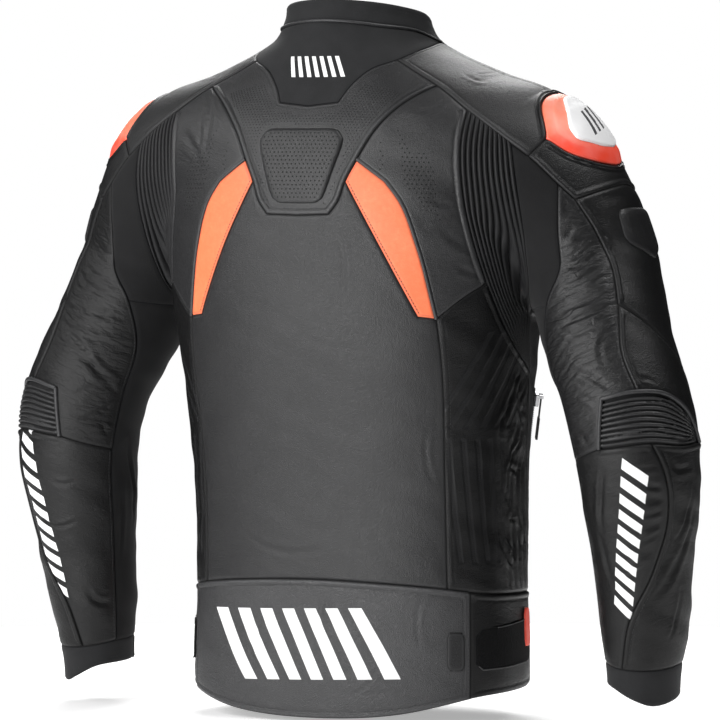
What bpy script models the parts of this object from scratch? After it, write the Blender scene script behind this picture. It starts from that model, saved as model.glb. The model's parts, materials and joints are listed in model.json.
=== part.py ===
"""A perforated leather riding jacket, filled out as if worn, made of the pieces that a maker sews.

The outer shape is one form: a body with a collar, and two sleeves that blend into it.
Named places on that form are joined by seams, and each panel is the cloth inside a loop of seams.
The jacket faces -Y, the wearer's left is +X, and the origin is inside the base of the neck.
"""

import math
from typing import NamedTuple

import bmesh
import bpy
import numpy as np
from mathutils import Matrix, Vector
from mathutils.geometry import delaunay_2d_cdt

# Driving sizes, in metres.
SEAM_GAP = 0.0003
SEAM_STEP = 0.026
CLOTH_STEP = 0.030
LEATHER = 0.0020
STRETCH = 0.0020
NEOPRENE = 0.0030
PADDED = 0.0040
TAPE = 0.0012
SLIDER_SHELL = 0.0060
SLIDER_RISE = 0.0045
CAP_SHELL = 0.0025
SPINE_PAD = 0.0035
ARM_PAD = 0.0040

# The sleeve runs into the body over a soft blend, which tightens between these two heights.
BLEND_TOP, BLEND_LOW = 0.045, 0.012
BLEND_FROM, BLEND_TO = -0.10, -0.20

# Mean radii that turn an angle round the body or the sleeve into a length on a flat chart.
BODY_RADIUS, SLEEVE_RADIUS = 0.14, 0.058

# An edge's side is split on one slant, the same for both panels at a seam.
SPLIT_WAY = (0.0, 0.37, 1.0)

ZIP_BODY = (0.0090, 0.0040, 0.0130)
ZIP_EAR = (0.0012, 0.0046, 0.0036)
ZIP_EAR_SPREAD = 0.0034
ZIP_SEAT = 0.0006
PIN_RADIUS, HUB_BORE, HUB_RADIUS = 0.0006, 0.0009, 0.0017
PIN_OUT = 0.0068
PIN_ABOVE = 0.0040
PULL_LENGTH, PULL_WIDTH, PULL_DEPTH = 0.045, 0.0046, 0.0014


class BodySection(NamedTuple):
    """A level cut through the body and collar: its height, half width, depths and squareness."""
    height: float
    half_width: float
    back: float
    front: float
    squareness: float


BODY = (
    BodySection(0.090, 0.070, 0.076, 0.054, 2.0),
    BodySection(0.061, 0.071, 0.077, 0.056, 2.0),
    BodySection(0.039, 0.074, 0.081, 0.062, 2.0),
    BodySection(0.020, 0.085, 0.087, 0.066, 2.0),
    BodySection(0.005, 0.108, 0.092, 0.072, 2.1),
    BodySection(-0.010, 0.132, 0.097, 0.080, 2.2),
    BodySection(-0.030, 0.163, 0.106, 0.090, 2.3),
    BodySection(-0.060, 0.190, 0.121, 0.103, 2.4),
    BodySection(-0.105, 0.202, 0.133, 0.112, 2.4),
    BodySection(-0.155, 0.202, 0.136, 0.115, 2.4),
    BodySection(-0.220, 0.194, 0.134, 0.114, 2.4),
    BodySection(-0.290, 0.185, 0.128, 0.109, 2.4),
    BodySection(-0.350, 0.178, 0.117, 0.111, 2.4),
    BodySection(-0.430, 0.172, 0.107, 0.118, 2.4),
    BodySection(-0.520, 0.171, 0.104, 0.122, 2.4),
    BodySection(-0.600, 0.173, 0.106, 0.124, 2.4),
    BodySection(-0.680, 0.172, 0.104, 0.122, 2.4),
)


class SleeveSection(NamedTuple):
    """A cut square to the sleeve's centre line: the centre's place and the two half widths."""
    out: float
    back: float
    height: float
    half_across: float
    half_deep: float


SLEEVE = (
    SleeveSection(0.085, 0.010, -0.060, 0.045, 0.064),
    SleeveSection(0.140, 0.006, -0.071, 0.052, 0.072),
    SleeveSection(0.184, 0.002, -0.088, 0.062, 0.077),
    SleeveSection(0.210, -0.001, -0.118, 0.067, 0.077),
    SleeveSection(0.231, -0.008, -0.158, 0.067, 0.075),
    SleeveSection(0.247, -0.012, -0.198, 0.066, 0.072),
    SleeveSection(0.263, -0.003, -0.238, 0.064, 0.069),
    SleeveSection(0.278, 0.008, -0.278, 0.062, 0.066),
    SleeveSection(0.296, 0.017, -0.318, 0.061, 0.064),
    SleeveSection(0.309, 0.020, -0.358, 0.062, 0.063),
    SleeveSection(0.314, 0.016, -0.398, 0.060, 0.062),
    SleeveSection(0.313, 0.009, -0.438, 0.056, 0.058),
    SleeveSection(0.312, 0.003, -0.478, 0.050, 0.054),
    SleeveSection(0.311, -0.002, -0.518, 0.046, 0.050),
    SleeveSection(0.309, -0.007, -0.558, 0.042, 0.046),
    SleeveSection(0.307, -0.011, -0.598, 0.036, 0.041),
    SleeveSection(0.305, -0.014, -0.650, 0.034, 0.040),
)


class BodyPlace(NamedTuple):
    """A named place near the form, measured across from the middle, to the back and up."""
    name: str
    across: float
    back: float
    height: float


BODY_PLACES = (
    BodyPlace("rim_back", 0.000, 0.077, 0.061),
    BodyPlace("rim_rear", 0.064, 0.034, 0.054),
    BodyPlace("rim_side", 0.072, -0.008, 0.047),
    BodyPlace("rim_turn", 0.056, -0.040, 0.037),
    BodyPlace("rim_front", 0.008, -0.061, 0.026),
    BodyPlace("rim_middle", 0.000, -0.061, 0.026),
    BodyPlace("fold_back", 0.000, 0.082, 0.040),
    BodyPlace("fold_rear", 0.052, 0.064, 0.036),
    BodyPlace("fold_side", 0.078, 0.014, 0.027),
    BodyPlace("fold_end", 0.087, -0.007, 0.019),
    BodyPlace("neck_front", 0.086, -0.034, 0.009),
    BodyPlace("neck_turn", 0.060, -0.060, 0.000),
    BodyPlace("neck_zip", 0.008, -0.079, -0.010),
    BodyPlace("patch_rise", 0.090, 0.034, 0.012),
    BodyPlace("seam_patch", 0.078, 0.073, 0.001),
    BodyPlace("patch_turn", 0.055, 0.091, -0.010),
    BodyPlace("patch_low", 0.041, 0.102, -0.025),
    BodyPlace("patch_corner", 0.032, 0.111, -0.041),
    BodyPlace("patch_bottom", 0.000, 0.113, -0.045),
    BodyPlace("yoke_top", 0.125, 0.079, -0.025),
    BodyPlace("rib_top_in", 0.161, 0.086, -0.049),
    BodyPlace("rib_top_out", 0.206, 0.081, -0.082),
    BodyPlace("slider_seam", 0.222, 0.076, -0.094),
    BodyPlace("arm_top", 0.249, 0.065, -0.121),
    BodyPlace("arm_seam", 0.263, 0.056, -0.136),
    BodyPlace("yoke_hollow", 0.094, 0.108, -0.048),
    BodyPlace("yoke_waist", 0.077, 0.119, -0.069),
    BodyPlace("wedge_top", 0.062, 0.128, -0.097),
    BodyPlace("wedge_heel", 0.051, 0.133, -0.119),
    BodyPlace("yoke_low", 0.044, 0.134, -0.138),
    BodyPlace("yoke_corner", 0.034, 0.135, -0.151),
    BodyPlace("yoke_bottom", 0.000, 0.136, -0.152),
    BodyPlace("wedge_inner", 0.087, 0.128, -0.184),
    BodyPlace("wedge_foot", 0.120, 0.112, -0.251),
    BodyPlace("wedge_tip", 0.136, 0.103, -0.253),
    BodyPlace("wedge_knee", 0.092, 0.126, -0.118),
    BodyPlace("wedge_bend", 0.106, 0.123, -0.137),
    BodyPlace("wedge_outer", 0.122, 0.117, -0.181),
    BodyPlace("princess_high", 0.138, 0.096, -0.293),
    BodyPlace("princess_low", 0.134, 0.080, -0.401),
    BodyPlace("princess_belt", 0.134, 0.074, -0.519),
    BodyPlace("blade_low", 0.158, 0.089, -0.233),
    BodyPlace("blade_end", 0.175, 0.071, -0.218),
    BodyPlace("rib_in_high", 0.160, 0.098, -0.080),
    BodyPlace("rib_in_mid", 0.161, 0.097, -0.126),
    BodyPlace("rib_in_low", 0.166, 0.088, -0.170),
    BodyPlace("rib_in_foot", 0.184, 0.037, -0.271),
    BodyPlace("rib_tip", 0.183, -0.011, -0.307),
    BodyPlace("rib_out_high", 0.212, 0.077, -0.137),
    BodyPlace("rib_out_low", 0.209, 0.057, -0.186),
    BodyPlace("rib_out_foot", 0.203, 0.030, -0.226),
    BodyPlace("armpit", 0.197, 0.006, -0.242),
    BodyPlace("side_waist", 0.178, -0.032, -0.400),
    BodyPlace("side_belt", 0.164, -0.054, -0.527),
    BodyPlace("belt_middle", 0.000, 0.104, -0.511),
    BodyPlace("belt_back", 0.066, 0.099, -0.513),
    BodyPlace("belt_pad", 0.151, 0.059, -0.522),
    BodyPlace("belt_front", 0.125, -0.095, -0.530),
    BodyPlace("belt_zip", 0.008, -0.122, -0.532),
    BodyPlace("hem_middle", 0.000, 0.105, -0.648),
    BodyPlace("hem_back", 0.092, 0.095, -0.642),
    BodyPlace("hem_pad", 0.152, 0.061, -0.627),
    BodyPlace("hem_side", 0.164, -0.060, -0.617),
    BodyPlace("hem_front", 0.125, -0.097, -0.606),
    BodyPlace("hem_zip", 0.008, -0.124, -0.599),
    BodyPlace("zip_end", 0.000, -0.124, -0.599),
    BodyPlace("zip_chest", 0.008, -0.114, -0.140),
    BodyPlace("zip_waist", 0.008, -0.111, -0.340),
    BodyPlace("chest_neck", 0.118, -0.062, -0.020),
    BodyPlace("chest_shoulder", 0.160, -0.078, -0.052),
    BodyPlace("slider_front", 0.222, -0.074, -0.096),
    BodyPlace("arm_front", 0.262, -0.056, -0.138),
    BodyPlace("armhole_high", 0.216, -0.078, -0.135),
    BodyPlace("armhole_mid", 0.205, -0.073, -0.180),
    BodyPlace("armhole_low", 0.197, -0.046, -0.222),
    BodyPlace("slider_rear", 0.234, 0.060, -0.077),
    BodyPlace("slider_neck_rear", 0.219, 0.038, -0.043),
    BodyPlace("slider_neck", 0.216, -0.005, -0.034),
    BodyPlace("slider_neck_front", 0.219, -0.044, -0.044),
    BodyPlace("slider_fore", 0.234, -0.062, -0.078),
    BodyPlace("slider_drop_rear", 0.254, 0.050, -0.090),
    BodyPlace("slider_drop", 0.281, -0.002, -0.102),
    BodyPlace("slider_drop_front", 0.256, -0.052, -0.092),
    BodyPlace("drop_rear", 0.283, 0.026, -0.126),
    BodyPlace("drop_side", 0.288, -0.008, -0.122),
    BodyPlace("drop_front", 0.281, -0.036, -0.128),
    BodyPlace("inner_high", 0.248, 0.064, -0.164),
    BodyPlace("inner_mid", 0.247, 0.061, -0.207),
    BodyPlace("inner_low", 0.233, 0.056, -0.240),
)


class SleevePlace(NamedTuple):
    """A named place on the sleeve: metres down its centre line, degrees from outside to back."""
    name: str
    along: float
    around: float


SLEEVE_PLACES = (
    SleevePlace("inner_arm", 0.318, 140),
    SleevePlace("inner_elbow", 0.366, 151),
    SleevePlace("inner_bend", 0.432, 154),
    SleevePlace("inner_forearm", 0.540, 152),
    SleevePlace("inner_cuff", 0.640, 150),
    SleevePlace("arm_high", 0.214, 53),
    SleevePlace("arm_mid", 0.260, 49),
    SleevePlace("arm_fork", 0.305, 50),
    SleevePlace("arm_low", 0.355, 58),
    SleevePlace("elbow_seam", 0.385, 55),
    SleevePlace("elbow_inner", 0.383, 87),
    SleevePlace("elbow_outer", 0.390, 30),
    SleevePlace("elbow_turn", 0.402, 8),
    SleevePlace("elbow_corner", 0.430, -14),
    SleevePlace("elbow_low_mid", 0.428, 20),
    SleevePlace("forearm_seam", 0.422, 52),
    SleevePlace("elbow_low_in", 0.420, 101),
    SleevePlace("fore_high", 0.444, 43),
    SleevePlace("fore_mid", 0.492, 39),
    SleevePlace("fore_turn", 0.540, 54),
    SleevePlace("fore_low", 0.597, 86),
    SleevePlace("fore_cuff", 0.643, 98),
    SleevePlace("cross_side", 0.353, -6),
    SleevePlace("cross_front", 0.376, -60),
    SleevePlace("cross_inner", 0.382, -112),
    SleevePlace("bend_front", 0.436, -62),
    SleevePlace("bend_inner", 0.438, -112),
    SleevePlace("front_arm", 0.300, -114),
    SleevePlace("front_forearm", 0.540, -112),
    SleevePlace("front_cuff", 0.640, -110),
    SleevePlace("cuff_side", 0.641, 0),
    SleevePlace("cuff_under", 0.640, 200),
    SleevePlace("cuff_under_front", 0.640, -160),
    SleevePlace("edge_under", 0.662, 200),
    SleevePlace("edge_under_front", 0.662, -160),
    SleevePlace("edge_rear", 0.666, 110),
    SleevePlace("edge_out", 0.680, 55),
    SleevePlace("edge_side", 0.676, 0),
    SleevePlace("edge_front", 0.668, -90),
)

# Each seam is one smooth curve through its places. Corners are where two seams meet.
SEAMS = {
    "rim": ("rim_back", "rim_rear", "rim_side", "rim_turn", "rim_front"),
    "zip_rim": ("rim_middle", "rim_front"),
    "zip_collar": ("rim_front", "neck_zip"),
    "fold": ("fold_back", "fold_rear", "fold_side", "fold_end"),
    "neck": ("fold_end", "neck_front", "neck_turn", "neck_zip"),
    "patch_edge": ("fold_end", "patch_rise", "seam_patch", "patch_turn", "patch_low", "patch_corner"),
    "patch_bottom": ("patch_bottom", "patch_corner"),
    "shoulder": ("seam_patch", "yoke_top", "rib_top_in", "rib_top_out", "slider_seam", "arm_top",
                 "arm_seam"),
    "yoke_side": ("yoke_top", "yoke_hollow", "yoke_waist", "wedge_top", "wedge_heel", "yoke_low",
                  "yoke_corner"),
    "yoke_bottom": ("yoke_bottom", "yoke_corner"),
    "wedge_inner": ("wedge_heel", "wedge_inner", "wedge_foot"),
    "wedge_foot": ("wedge_foot", "wedge_tip"),
    "wedge_shoulder": ("wedge_top", "wedge_knee"),
    "wedge_outer": ("wedge_knee", "wedge_bend", "wedge_outer", "wedge_tip"),
    "princess": ("wedge_tip", "princess_high", "princess_low", "princess_belt"),
    "blade_low": ("wedge_tip", "blade_low", "blade_end"),
    "rib_inner": ("rib_top_in", "rib_in_high", "rib_in_mid", "rib_in_low", "blade_end",
                  "rib_in_foot", "rib_tip"),
    "rib_outer": ("rib_top_out", "rib_out_high", "rib_out_low", "rib_out_foot", "armpit"),
    "side": ("armpit", "rib_tip", "side_waist", "side_belt"),
    "belt": ("belt_middle", "belt_back", "princess_belt", "belt_pad", "side_belt", "belt_front",
             "belt_zip"),
    "hem": ("hem_middle", "hem_back", "hem_pad", "hem_side", "hem_front", "hem_zip"),
    "pad_side": ("belt_pad", "hem_pad"),
    "band_side": ("side_belt", "hem_side"),
    "zip_edge": ("neck_zip", "zip_chest", "zip_waist", "belt_zip", "hem_zip"),
    "zip_foot": ("zip_end", "hem_zip"),
    "chest": ("neck_front", "chest_neck", "chest_shoulder", "slider_front", "arm_front"),
    "armhole": ("slider_front", "armhole_high", "armhole_mid", "armhole_low", "armpit"),
    "slider_tail_rear": ("slider_rear", "slider_seam"),
    "slider_tail_front": ("slider_fore", "slider_front"),
    "slider_neck": ("slider_rear", "slider_neck_rear", "slider_neck", "slider_neck_front",
                    "slider_fore"),
    "slider_drop": ("slider_rear", "slider_drop_rear", "slider_drop", "slider_drop_front",
                    "slider_fore"),
    "drop": ("arm_seam", "drop_rear", "drop_side", "drop_front", "arm_front"),
    "inner": ("arm_top", "inner_high", "inner_mid", "inner_low", "inner_arm", "inner_elbow",
              "inner_bend", "inner_forearm", "inner_cuff"),
    "underarm": ("armpit", "inner_low"),
    "arm": ("arm_seam", "arm_high", "arm_mid", "arm_fork", "arm_low", "elbow_seam"),
    "front": ("armhole_low", "front_arm", "cross_inner", "bend_inner", "front_forearm",
              "front_cuff"),
    "cross": ("arm_fork", "cross_side", "cross_front", "cross_inner"),
    "elbow_top": ("elbow_inner", "elbow_seam", "elbow_outer", "elbow_turn", "elbow_corner"),
    "elbow_low": ("elbow_low_in", "forearm_seam", "elbow_low_mid", "elbow_corner", "bend_front",
                  "bend_inner"),
    "elbow_side": ("elbow_inner", "elbow_low_in"),
    "bend": ("inner_bend", "elbow_low_in"),
    "forearm": ("forearm_seam", "fore_high", "fore_mid", "fore_turn", "fore_low", "fore_cuff"),
    "cuff_top": ("cuff_under", "inner_cuff", "fore_cuff", "cuff_side", "front_cuff",
                 "cuff_under_front"),
    "cuff_edge": ("edge_under", "edge_rear", "edge_out", "edge_side", "edge_front",
                  "edge_under_front"),
    "cuff_join": ("cuff_under", "edge_under"),
}


class Finish(NamedTuple):
    """A material's colour, roughness and metallic value."""
    colour: tuple
    roughness: float
    metallic: float


BLACK_LEATHER = Finish((0.035, 0.035, 0.038, 1.0), 0.45, 0.0)
BLACK_STRETCH = Finish((0.012, 0.012, 0.014, 1.0), 0.85, 0.0)
BLACK_NEOPRENE = Finish((0.018, 0.018, 0.020, 1.0), 0.75, 0.0)
ORANGE_LEATHER = Finish((1.0, 0.14, 0.06, 1.0), 0.50, 0.0)
ORANGE_SHELL = Finish((1.0, 0.10, 0.04, 1.0), 0.35, 0.0)
WHITE_SHELL = Finish((0.85, 0.86, 0.88, 1.0), 0.30, 0.0)
BLACK_TAPE = Finish((0.010, 0.010, 0.012, 1.0), 0.80, 0.0)
BLACK_RUBBER = Finish((0.014, 0.014, 0.015, 1.0), 0.60, 0.0)
SILVER_METAL = Finish((0.62, 0.62, 0.63, 1.0), 0.30, 1.0)


class Panel(NamedTuple):
    """A piece of cloth inside a loop of seam runs, each a seam's name and its two end places."""
    name: str
    chart: str
    thickness: float
    rise: float
    finish: Finish
    loop: tuple


# A middle panel's loop is its right half, from one place on the middle line to another.
MIDDLE_PANELS = (
    Panel("collar_band", "body", NEOPRENE, 0.0, BLACK_NEOPRENE, (
        ("rim", "rim_back", "rim_front"), ("zip_collar", "rim_front", "neck_zip"),
        ("neck", "neck_zip", "fold_end"), ("fold", "fold_end", "fold_back"))),
    Panel("neck_patch", "body", NEOPRENE, 0.0, BLACK_NEOPRENE, (
        ("fold", "fold_back", "fold_end"), ("patch_edge", "fold_end", "patch_corner"),
        ("patch_bottom", "patch_corner", "patch_bottom"))),
    Panel("yoke", "flat", LEATHER, 0.0, BLACK_LEATHER, (
        ("patch_bottom", "patch_bottom", "patch_corner"),
        ("patch_edge", "patch_corner", "seam_patch"), ("shoulder", "seam_patch", "yoke_top"),
        ("yoke_side", "yoke_top", "yoke_corner"), ("yoke_bottom", "yoke_corner", "yoke_bottom"))),
    Panel("back_panel", "body", LEATHER, 0.0, BLACK_LEATHER, (
        ("yoke_bottom", "yoke_bottom", "yoke_corner"), ("yoke_side", "yoke_corner", "wedge_heel"),
        ("wedge_inner", "wedge_heel", "wedge_foot"), ("wedge_foot", "wedge_foot", "wedge_tip"),
        ("princess", "wedge_tip", "princess_belt"), ("belt", "princess_belt", "belt_middle"))),
    Panel("lower_back_pad", "body", PADDED, 0.0015, BLACK_LEATHER, (
        ("belt", "belt_middle", "belt_pad"), ("pad_side", "belt_pad", "hem_pad"),
        ("hem", "hem_pad", "hem_middle"))),
    Panel("front_zip", "body", TAPE, 0.0, BLACK_TAPE, (
        ("zip_rim", "rim_middle", "rim_front"), ("zip_collar", "rim_front", "neck_zip"),
        ("zip_edge", "neck_zip", "hem_zip"), ("zip_foot", "hem_zip", "zip_end"))),
)

SIDE_PANELS = (
    Panel("shoulder_panel", "flat", LEATHER, 0.0, BLACK_LEATHER, (
        ("shoulder", "seam_patch", "slider_seam"),
        ("slider_tail_rear", "slider_seam", "slider_rear"),
        ("slider_neck", "slider_rear", "slider_fore"),
        ("slider_tail_front", "slider_fore", "slider_front"),
        ("chest", "slider_front", "neck_front"), ("neck", "neck_front", "fold_end"),
        ("patch_edge", "fold_end", "seam_patch"))),
    Panel("shoulder_slider", "flat", SLIDER_SHELL, SLIDER_RISE, ORANGE_SHELL, (
        ("slider_neck", "slider_rear", "slider_fore"),
        ("slider_drop", "slider_fore", "slider_rear"))),
    Panel("shoulder_drop", "sleeve", LEATHER, 0.0, BLACK_LEATHER, (
        ("slider_drop", "slider_rear", "slider_fore"),
        ("slider_tail_front", "slider_fore", "slider_front"),
        ("chest", "slider_front", "arm_front"), ("drop", "arm_front", "arm_seam"),
        ("shoulder", "arm_seam", "slider_seam"),
        ("slider_tail_rear", "slider_seam", "slider_rear"))),
    Panel("blade_panel", "flat", LEATHER, 0.0, BLACK_LEATHER, (
        ("yoke_side", "yoke_top", "wedge_top"), ("wedge_shoulder", "wedge_top", "wedge_knee"),
        ("wedge_outer", "wedge_knee", "wedge_tip"), ("blade_low", "wedge_tip", "blade_end"),
        ("rib_inner", "blade_end", "rib_top_in"), ("shoulder", "rib_top_in", "yoke_top"))),
    Panel("back_wedge", "flat", LEATHER, 0.0, ORANGE_LEATHER, (
        ("yoke_side", "wedge_top", "wedge_heel"), ("wedge_inner", "wedge_heel", "wedge_foot"),
        ("wedge_foot", "wedge_foot", "wedge_tip"), ("wedge_outer", "wedge_tip", "wedge_knee"),
        ("wedge_shoulder", "wedge_knee", "wedge_top"))),
    Panel("back_ribs", "flat", STRETCH, 0.0, BLACK_STRETCH, (
        ("shoulder", "rib_top_in", "rib_top_out"), ("rib_outer", "rib_top_out", "armpit"),
        ("side", "armpit", "rib_tip"), ("rib_inner", "rib_tip", "rib_top_in"))),
    Panel("underarm_stretch", "flat", STRETCH, 0.0, BLACK_STRETCH, (
        ("shoulder", "rib_top_out", "arm_top"), ("inner", "arm_top", "inner_low"),
        ("underarm", "inner_low", "armpit"), ("rib_outer", "armpit", "rib_top_out"))),
    Panel("flank_panel", "body", LEATHER, 0.0, BLACK_LEATHER, (
        ("blade_low", "wedge_tip", "blade_end"), ("rib_inner", "blade_end", "rib_tip"),
        ("side", "rib_tip", "side_belt"), ("belt", "side_belt", "princess_belt"),
        ("princess", "princess_belt", "wedge_tip"))),
    Panel("hem_gusset", "body", LEATHER, 0.0, BLACK_LEATHER, (
        ("belt", "belt_pad", "side_belt"), ("band_side", "side_belt", "hem_side"),
        ("hem", "hem_side", "hem_pad"), ("pad_side", "hem_pad", "belt_pad"))),
    Panel("front_band", "body", LEATHER, 0.0, BLACK_LEATHER, (
        ("belt", "side_belt", "belt_zip"), ("zip_edge", "belt_zip", "hem_zip"),
        ("hem", "hem_zip", "hem_side"), ("band_side", "hem_side", "side_belt"))),
    Panel("front_panel", "body", LEATHER, 0.0, BLACK_LEATHER, (
        ("neck", "neck_zip", "neck_front"), ("chest", "neck_front", "slider_front"),
        ("armhole", "slider_front", "armpit"), ("side", "armpit", "side_belt"),
        ("belt", "side_belt", "belt_zip"), ("zip_edge", "belt_zip", "neck_zip"))),
    Panel("sleeve_top", "sleeve", LEATHER, 0.0, BLACK_LEATHER, (
        ("drop", "arm_seam", "arm_front"), ("chest", "arm_front", "slider_front"),
        ("armhole", "slider_front", "armhole_low"), ("front", "armhole_low", "cross_inner"),
        ("cross", "cross_inner", "arm_fork"), ("arm", "arm_fork", "arm_seam"))),
    Panel("sleeve_side", "sleeve", LEATHER, 0.0, BLACK_LEATHER, (
        ("cross", "arm_fork", "cross_inner"), ("front", "cross_inner", "bend_inner"),
        ("elbow_low", "bend_inner", "elbow_corner"), ("elbow_top", "elbow_corner", "elbow_seam"),
        ("arm", "elbow_seam", "arm_fork"))),
    Panel("sleeve_back", "sleeve", LEATHER, 0.0, BLACK_LEATHER, (
        ("shoulder", "arm_top", "arm_seam"), ("arm", "arm_seam", "elbow_seam"),
        ("elbow_top", "elbow_seam", "elbow_inner"), ("elbow_side", "elbow_inner", "elbow_low_in"),
        ("bend", "elbow_low_in", "inner_bend"), ("inner", "inner_bend", "arm_top"))),
    Panel("elbow_ribs", "sleeve", LEATHER, 0.0, BLACK_LEATHER, (
        ("elbow_top", "elbow_inner", "elbow_corner"),
        ("elbow_low", "elbow_corner", "elbow_low_in"),
        ("elbow_side", "elbow_low_in", "elbow_inner"))),
    Panel("forearm_back", "sleeve", LEATHER, 0.0, BLACK_LEATHER, (
        ("bend", "inner_bend", "elbow_low_in"), ("elbow_low", "elbow_low_in", "forearm_seam"),
        ("forearm", "forearm_seam", "fore_cuff"), ("cuff_top", "fore_cuff", "inner_cuff"),
        ("inner", "inner_cuff", "inner_bend"))),
    Panel("forearm_side", "sleeve", LEATHER, 0.0, BLACK_LEATHER, (
        ("elbow_low", "forearm_seam", "bend_inner"), ("front", "bend_inner", "front_cuff"),
        ("cuff_top", "front_cuff", "fore_cuff"), ("forearm", "fore_cuff", "forearm_seam"))),
    Panel("sleeve_inner", "sleeve", STRETCH, 0.0, BLACK_STRETCH, (
        ("underarm", "armpit", "inner_low"), ("inner", "inner_low", "inner_cuff"),
        ("cuff_top", "inner_cuff", "cuff_under"), ("cuff_top", "cuff_under_front", "front_cuff"),
        ("front", "front_cuff", "armhole_low"), ("armhole", "armhole_low", "armpit"))),
    Panel("cuff", "sleeve", NEOPRENE, 0.0, BLACK_NEOPRENE, (
        ("cuff_top", "cuff_under", "cuff_under_front"), ("cuff_join", "cuff_under", "edge_under"),
        ("cuff_edge", "edge_under_front", "edge_under"),
        ("cuff_join", "edge_under", "cuff_under"))),
)


class Inlay(NamedTuple):
    """A piece that lies on one panel: its outline's corners, as across, back and height."""
    name: str
    panel: str
    thickness: float
    finish: Finish
    outline: tuple


MIDDLE_INLAYS = (
    Inlay("spine_pad", "yoke", SPINE_PAD, BLACK_LEATHER, (
        (0.000, 0.123, -0.067), (0.038, 0.122, -0.067), (0.0475, 0.125, -0.079),
        (0.029, 0.135, -0.135), (0.020, 0.136, -0.1405), (0.000, 0.136, -0.1405))),
)

SIDE_INLAYS = (
    Inlay("slider_cap", "shoulder_slider", CAP_SHELL, WHITE_SHELL, (
        (0.225, 0.010, -0.039), (0.245, 0.039, -0.068), (0.255, 0.038, -0.080),
        (0.269, 0.012, -0.087), (0.272, -0.012, -0.087), (0.258, -0.036, -0.080),
        (0.238, -0.040, -0.062), (0.225, -0.020, -0.040))),
    Inlay("arm_pad", "sleeve_top", ARM_PAD, BLACK_LEATHER, (
        (0.291, 0.022, -0.146), (0.301, -0.012, -0.143), (0.294, -0.040, -0.146),
        (0.309, -0.040, -0.186), (0.316, -0.014, -0.196), (0.302, 0.022, -0.178))),
    Inlay("hem_strap", "hem_gusset", TAPE, BLACK_TAPE, (
        (0.154, 0.054, -0.560), (0.171, 0.010, -0.556), (0.168, -0.040, -0.552),
        (0.168, -0.040, -0.594), (0.171, 0.010, -0.597), (0.154, 0.054, -0.599))),
    Inlay("pocket_zip", "front_panel", TAPE, BLACK_TAPE, (
        (0.172, -0.046, -0.324), (0.166, -0.056, -0.324), (0.144, -0.094, -0.452),
        (0.152, -0.086, -0.456))),
)

# Where a zip's slider sits: across, back and height, and the way along the zip that points up.
FRONT_SLIDER_AT, FRONT_SLIDER_UP = (0.0, -0.070, 0.012), (0.0, 0.43, 1.0)
POCKET_SLIDER_AT, POCKET_SLIDER_UP = (0.1675, -0.054, -0.336), (0.17, 0.29, 1.0)
FRONT_SLIDER_LIFT = 0.0003


def smooth(keys, values, at):
    """A smooth curve through a table's rows, which stops level with its first and last row."""
    slopes = np.gradient(values, keys, axis=0)
    at = np.clip(at, keys[0], keys[-1])
    row = np.clip(np.searchsorted(keys, at) - 1, 0, len(keys) - 2)
    step = keys[row + 1] - keys[row]
    part = (at - keys[row]) / step
    if values.ndim == 2:
        step, part = step[:, None], part[:, None]
    rise = values[row + 1] - values[row]
    start, end = slopes[row] * step, slopes[row + 1] * step
    bend = 3 * rise - 2 * start - end + part * (start + end - 2 * rise)
    return values[row] + part * (start + part * bend)


def run_along(points):
    """The distance from the first point to each point of a line."""
    return np.concatenate([[0.0], np.cumsum(np.linalg.norm(np.diff(points, axis=0), axis=1))])


def unit(vectors):
    """Vectors of length one."""
    return vectors / np.linalg.norm(vectors, axis=-1, keepdims=True)


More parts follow.
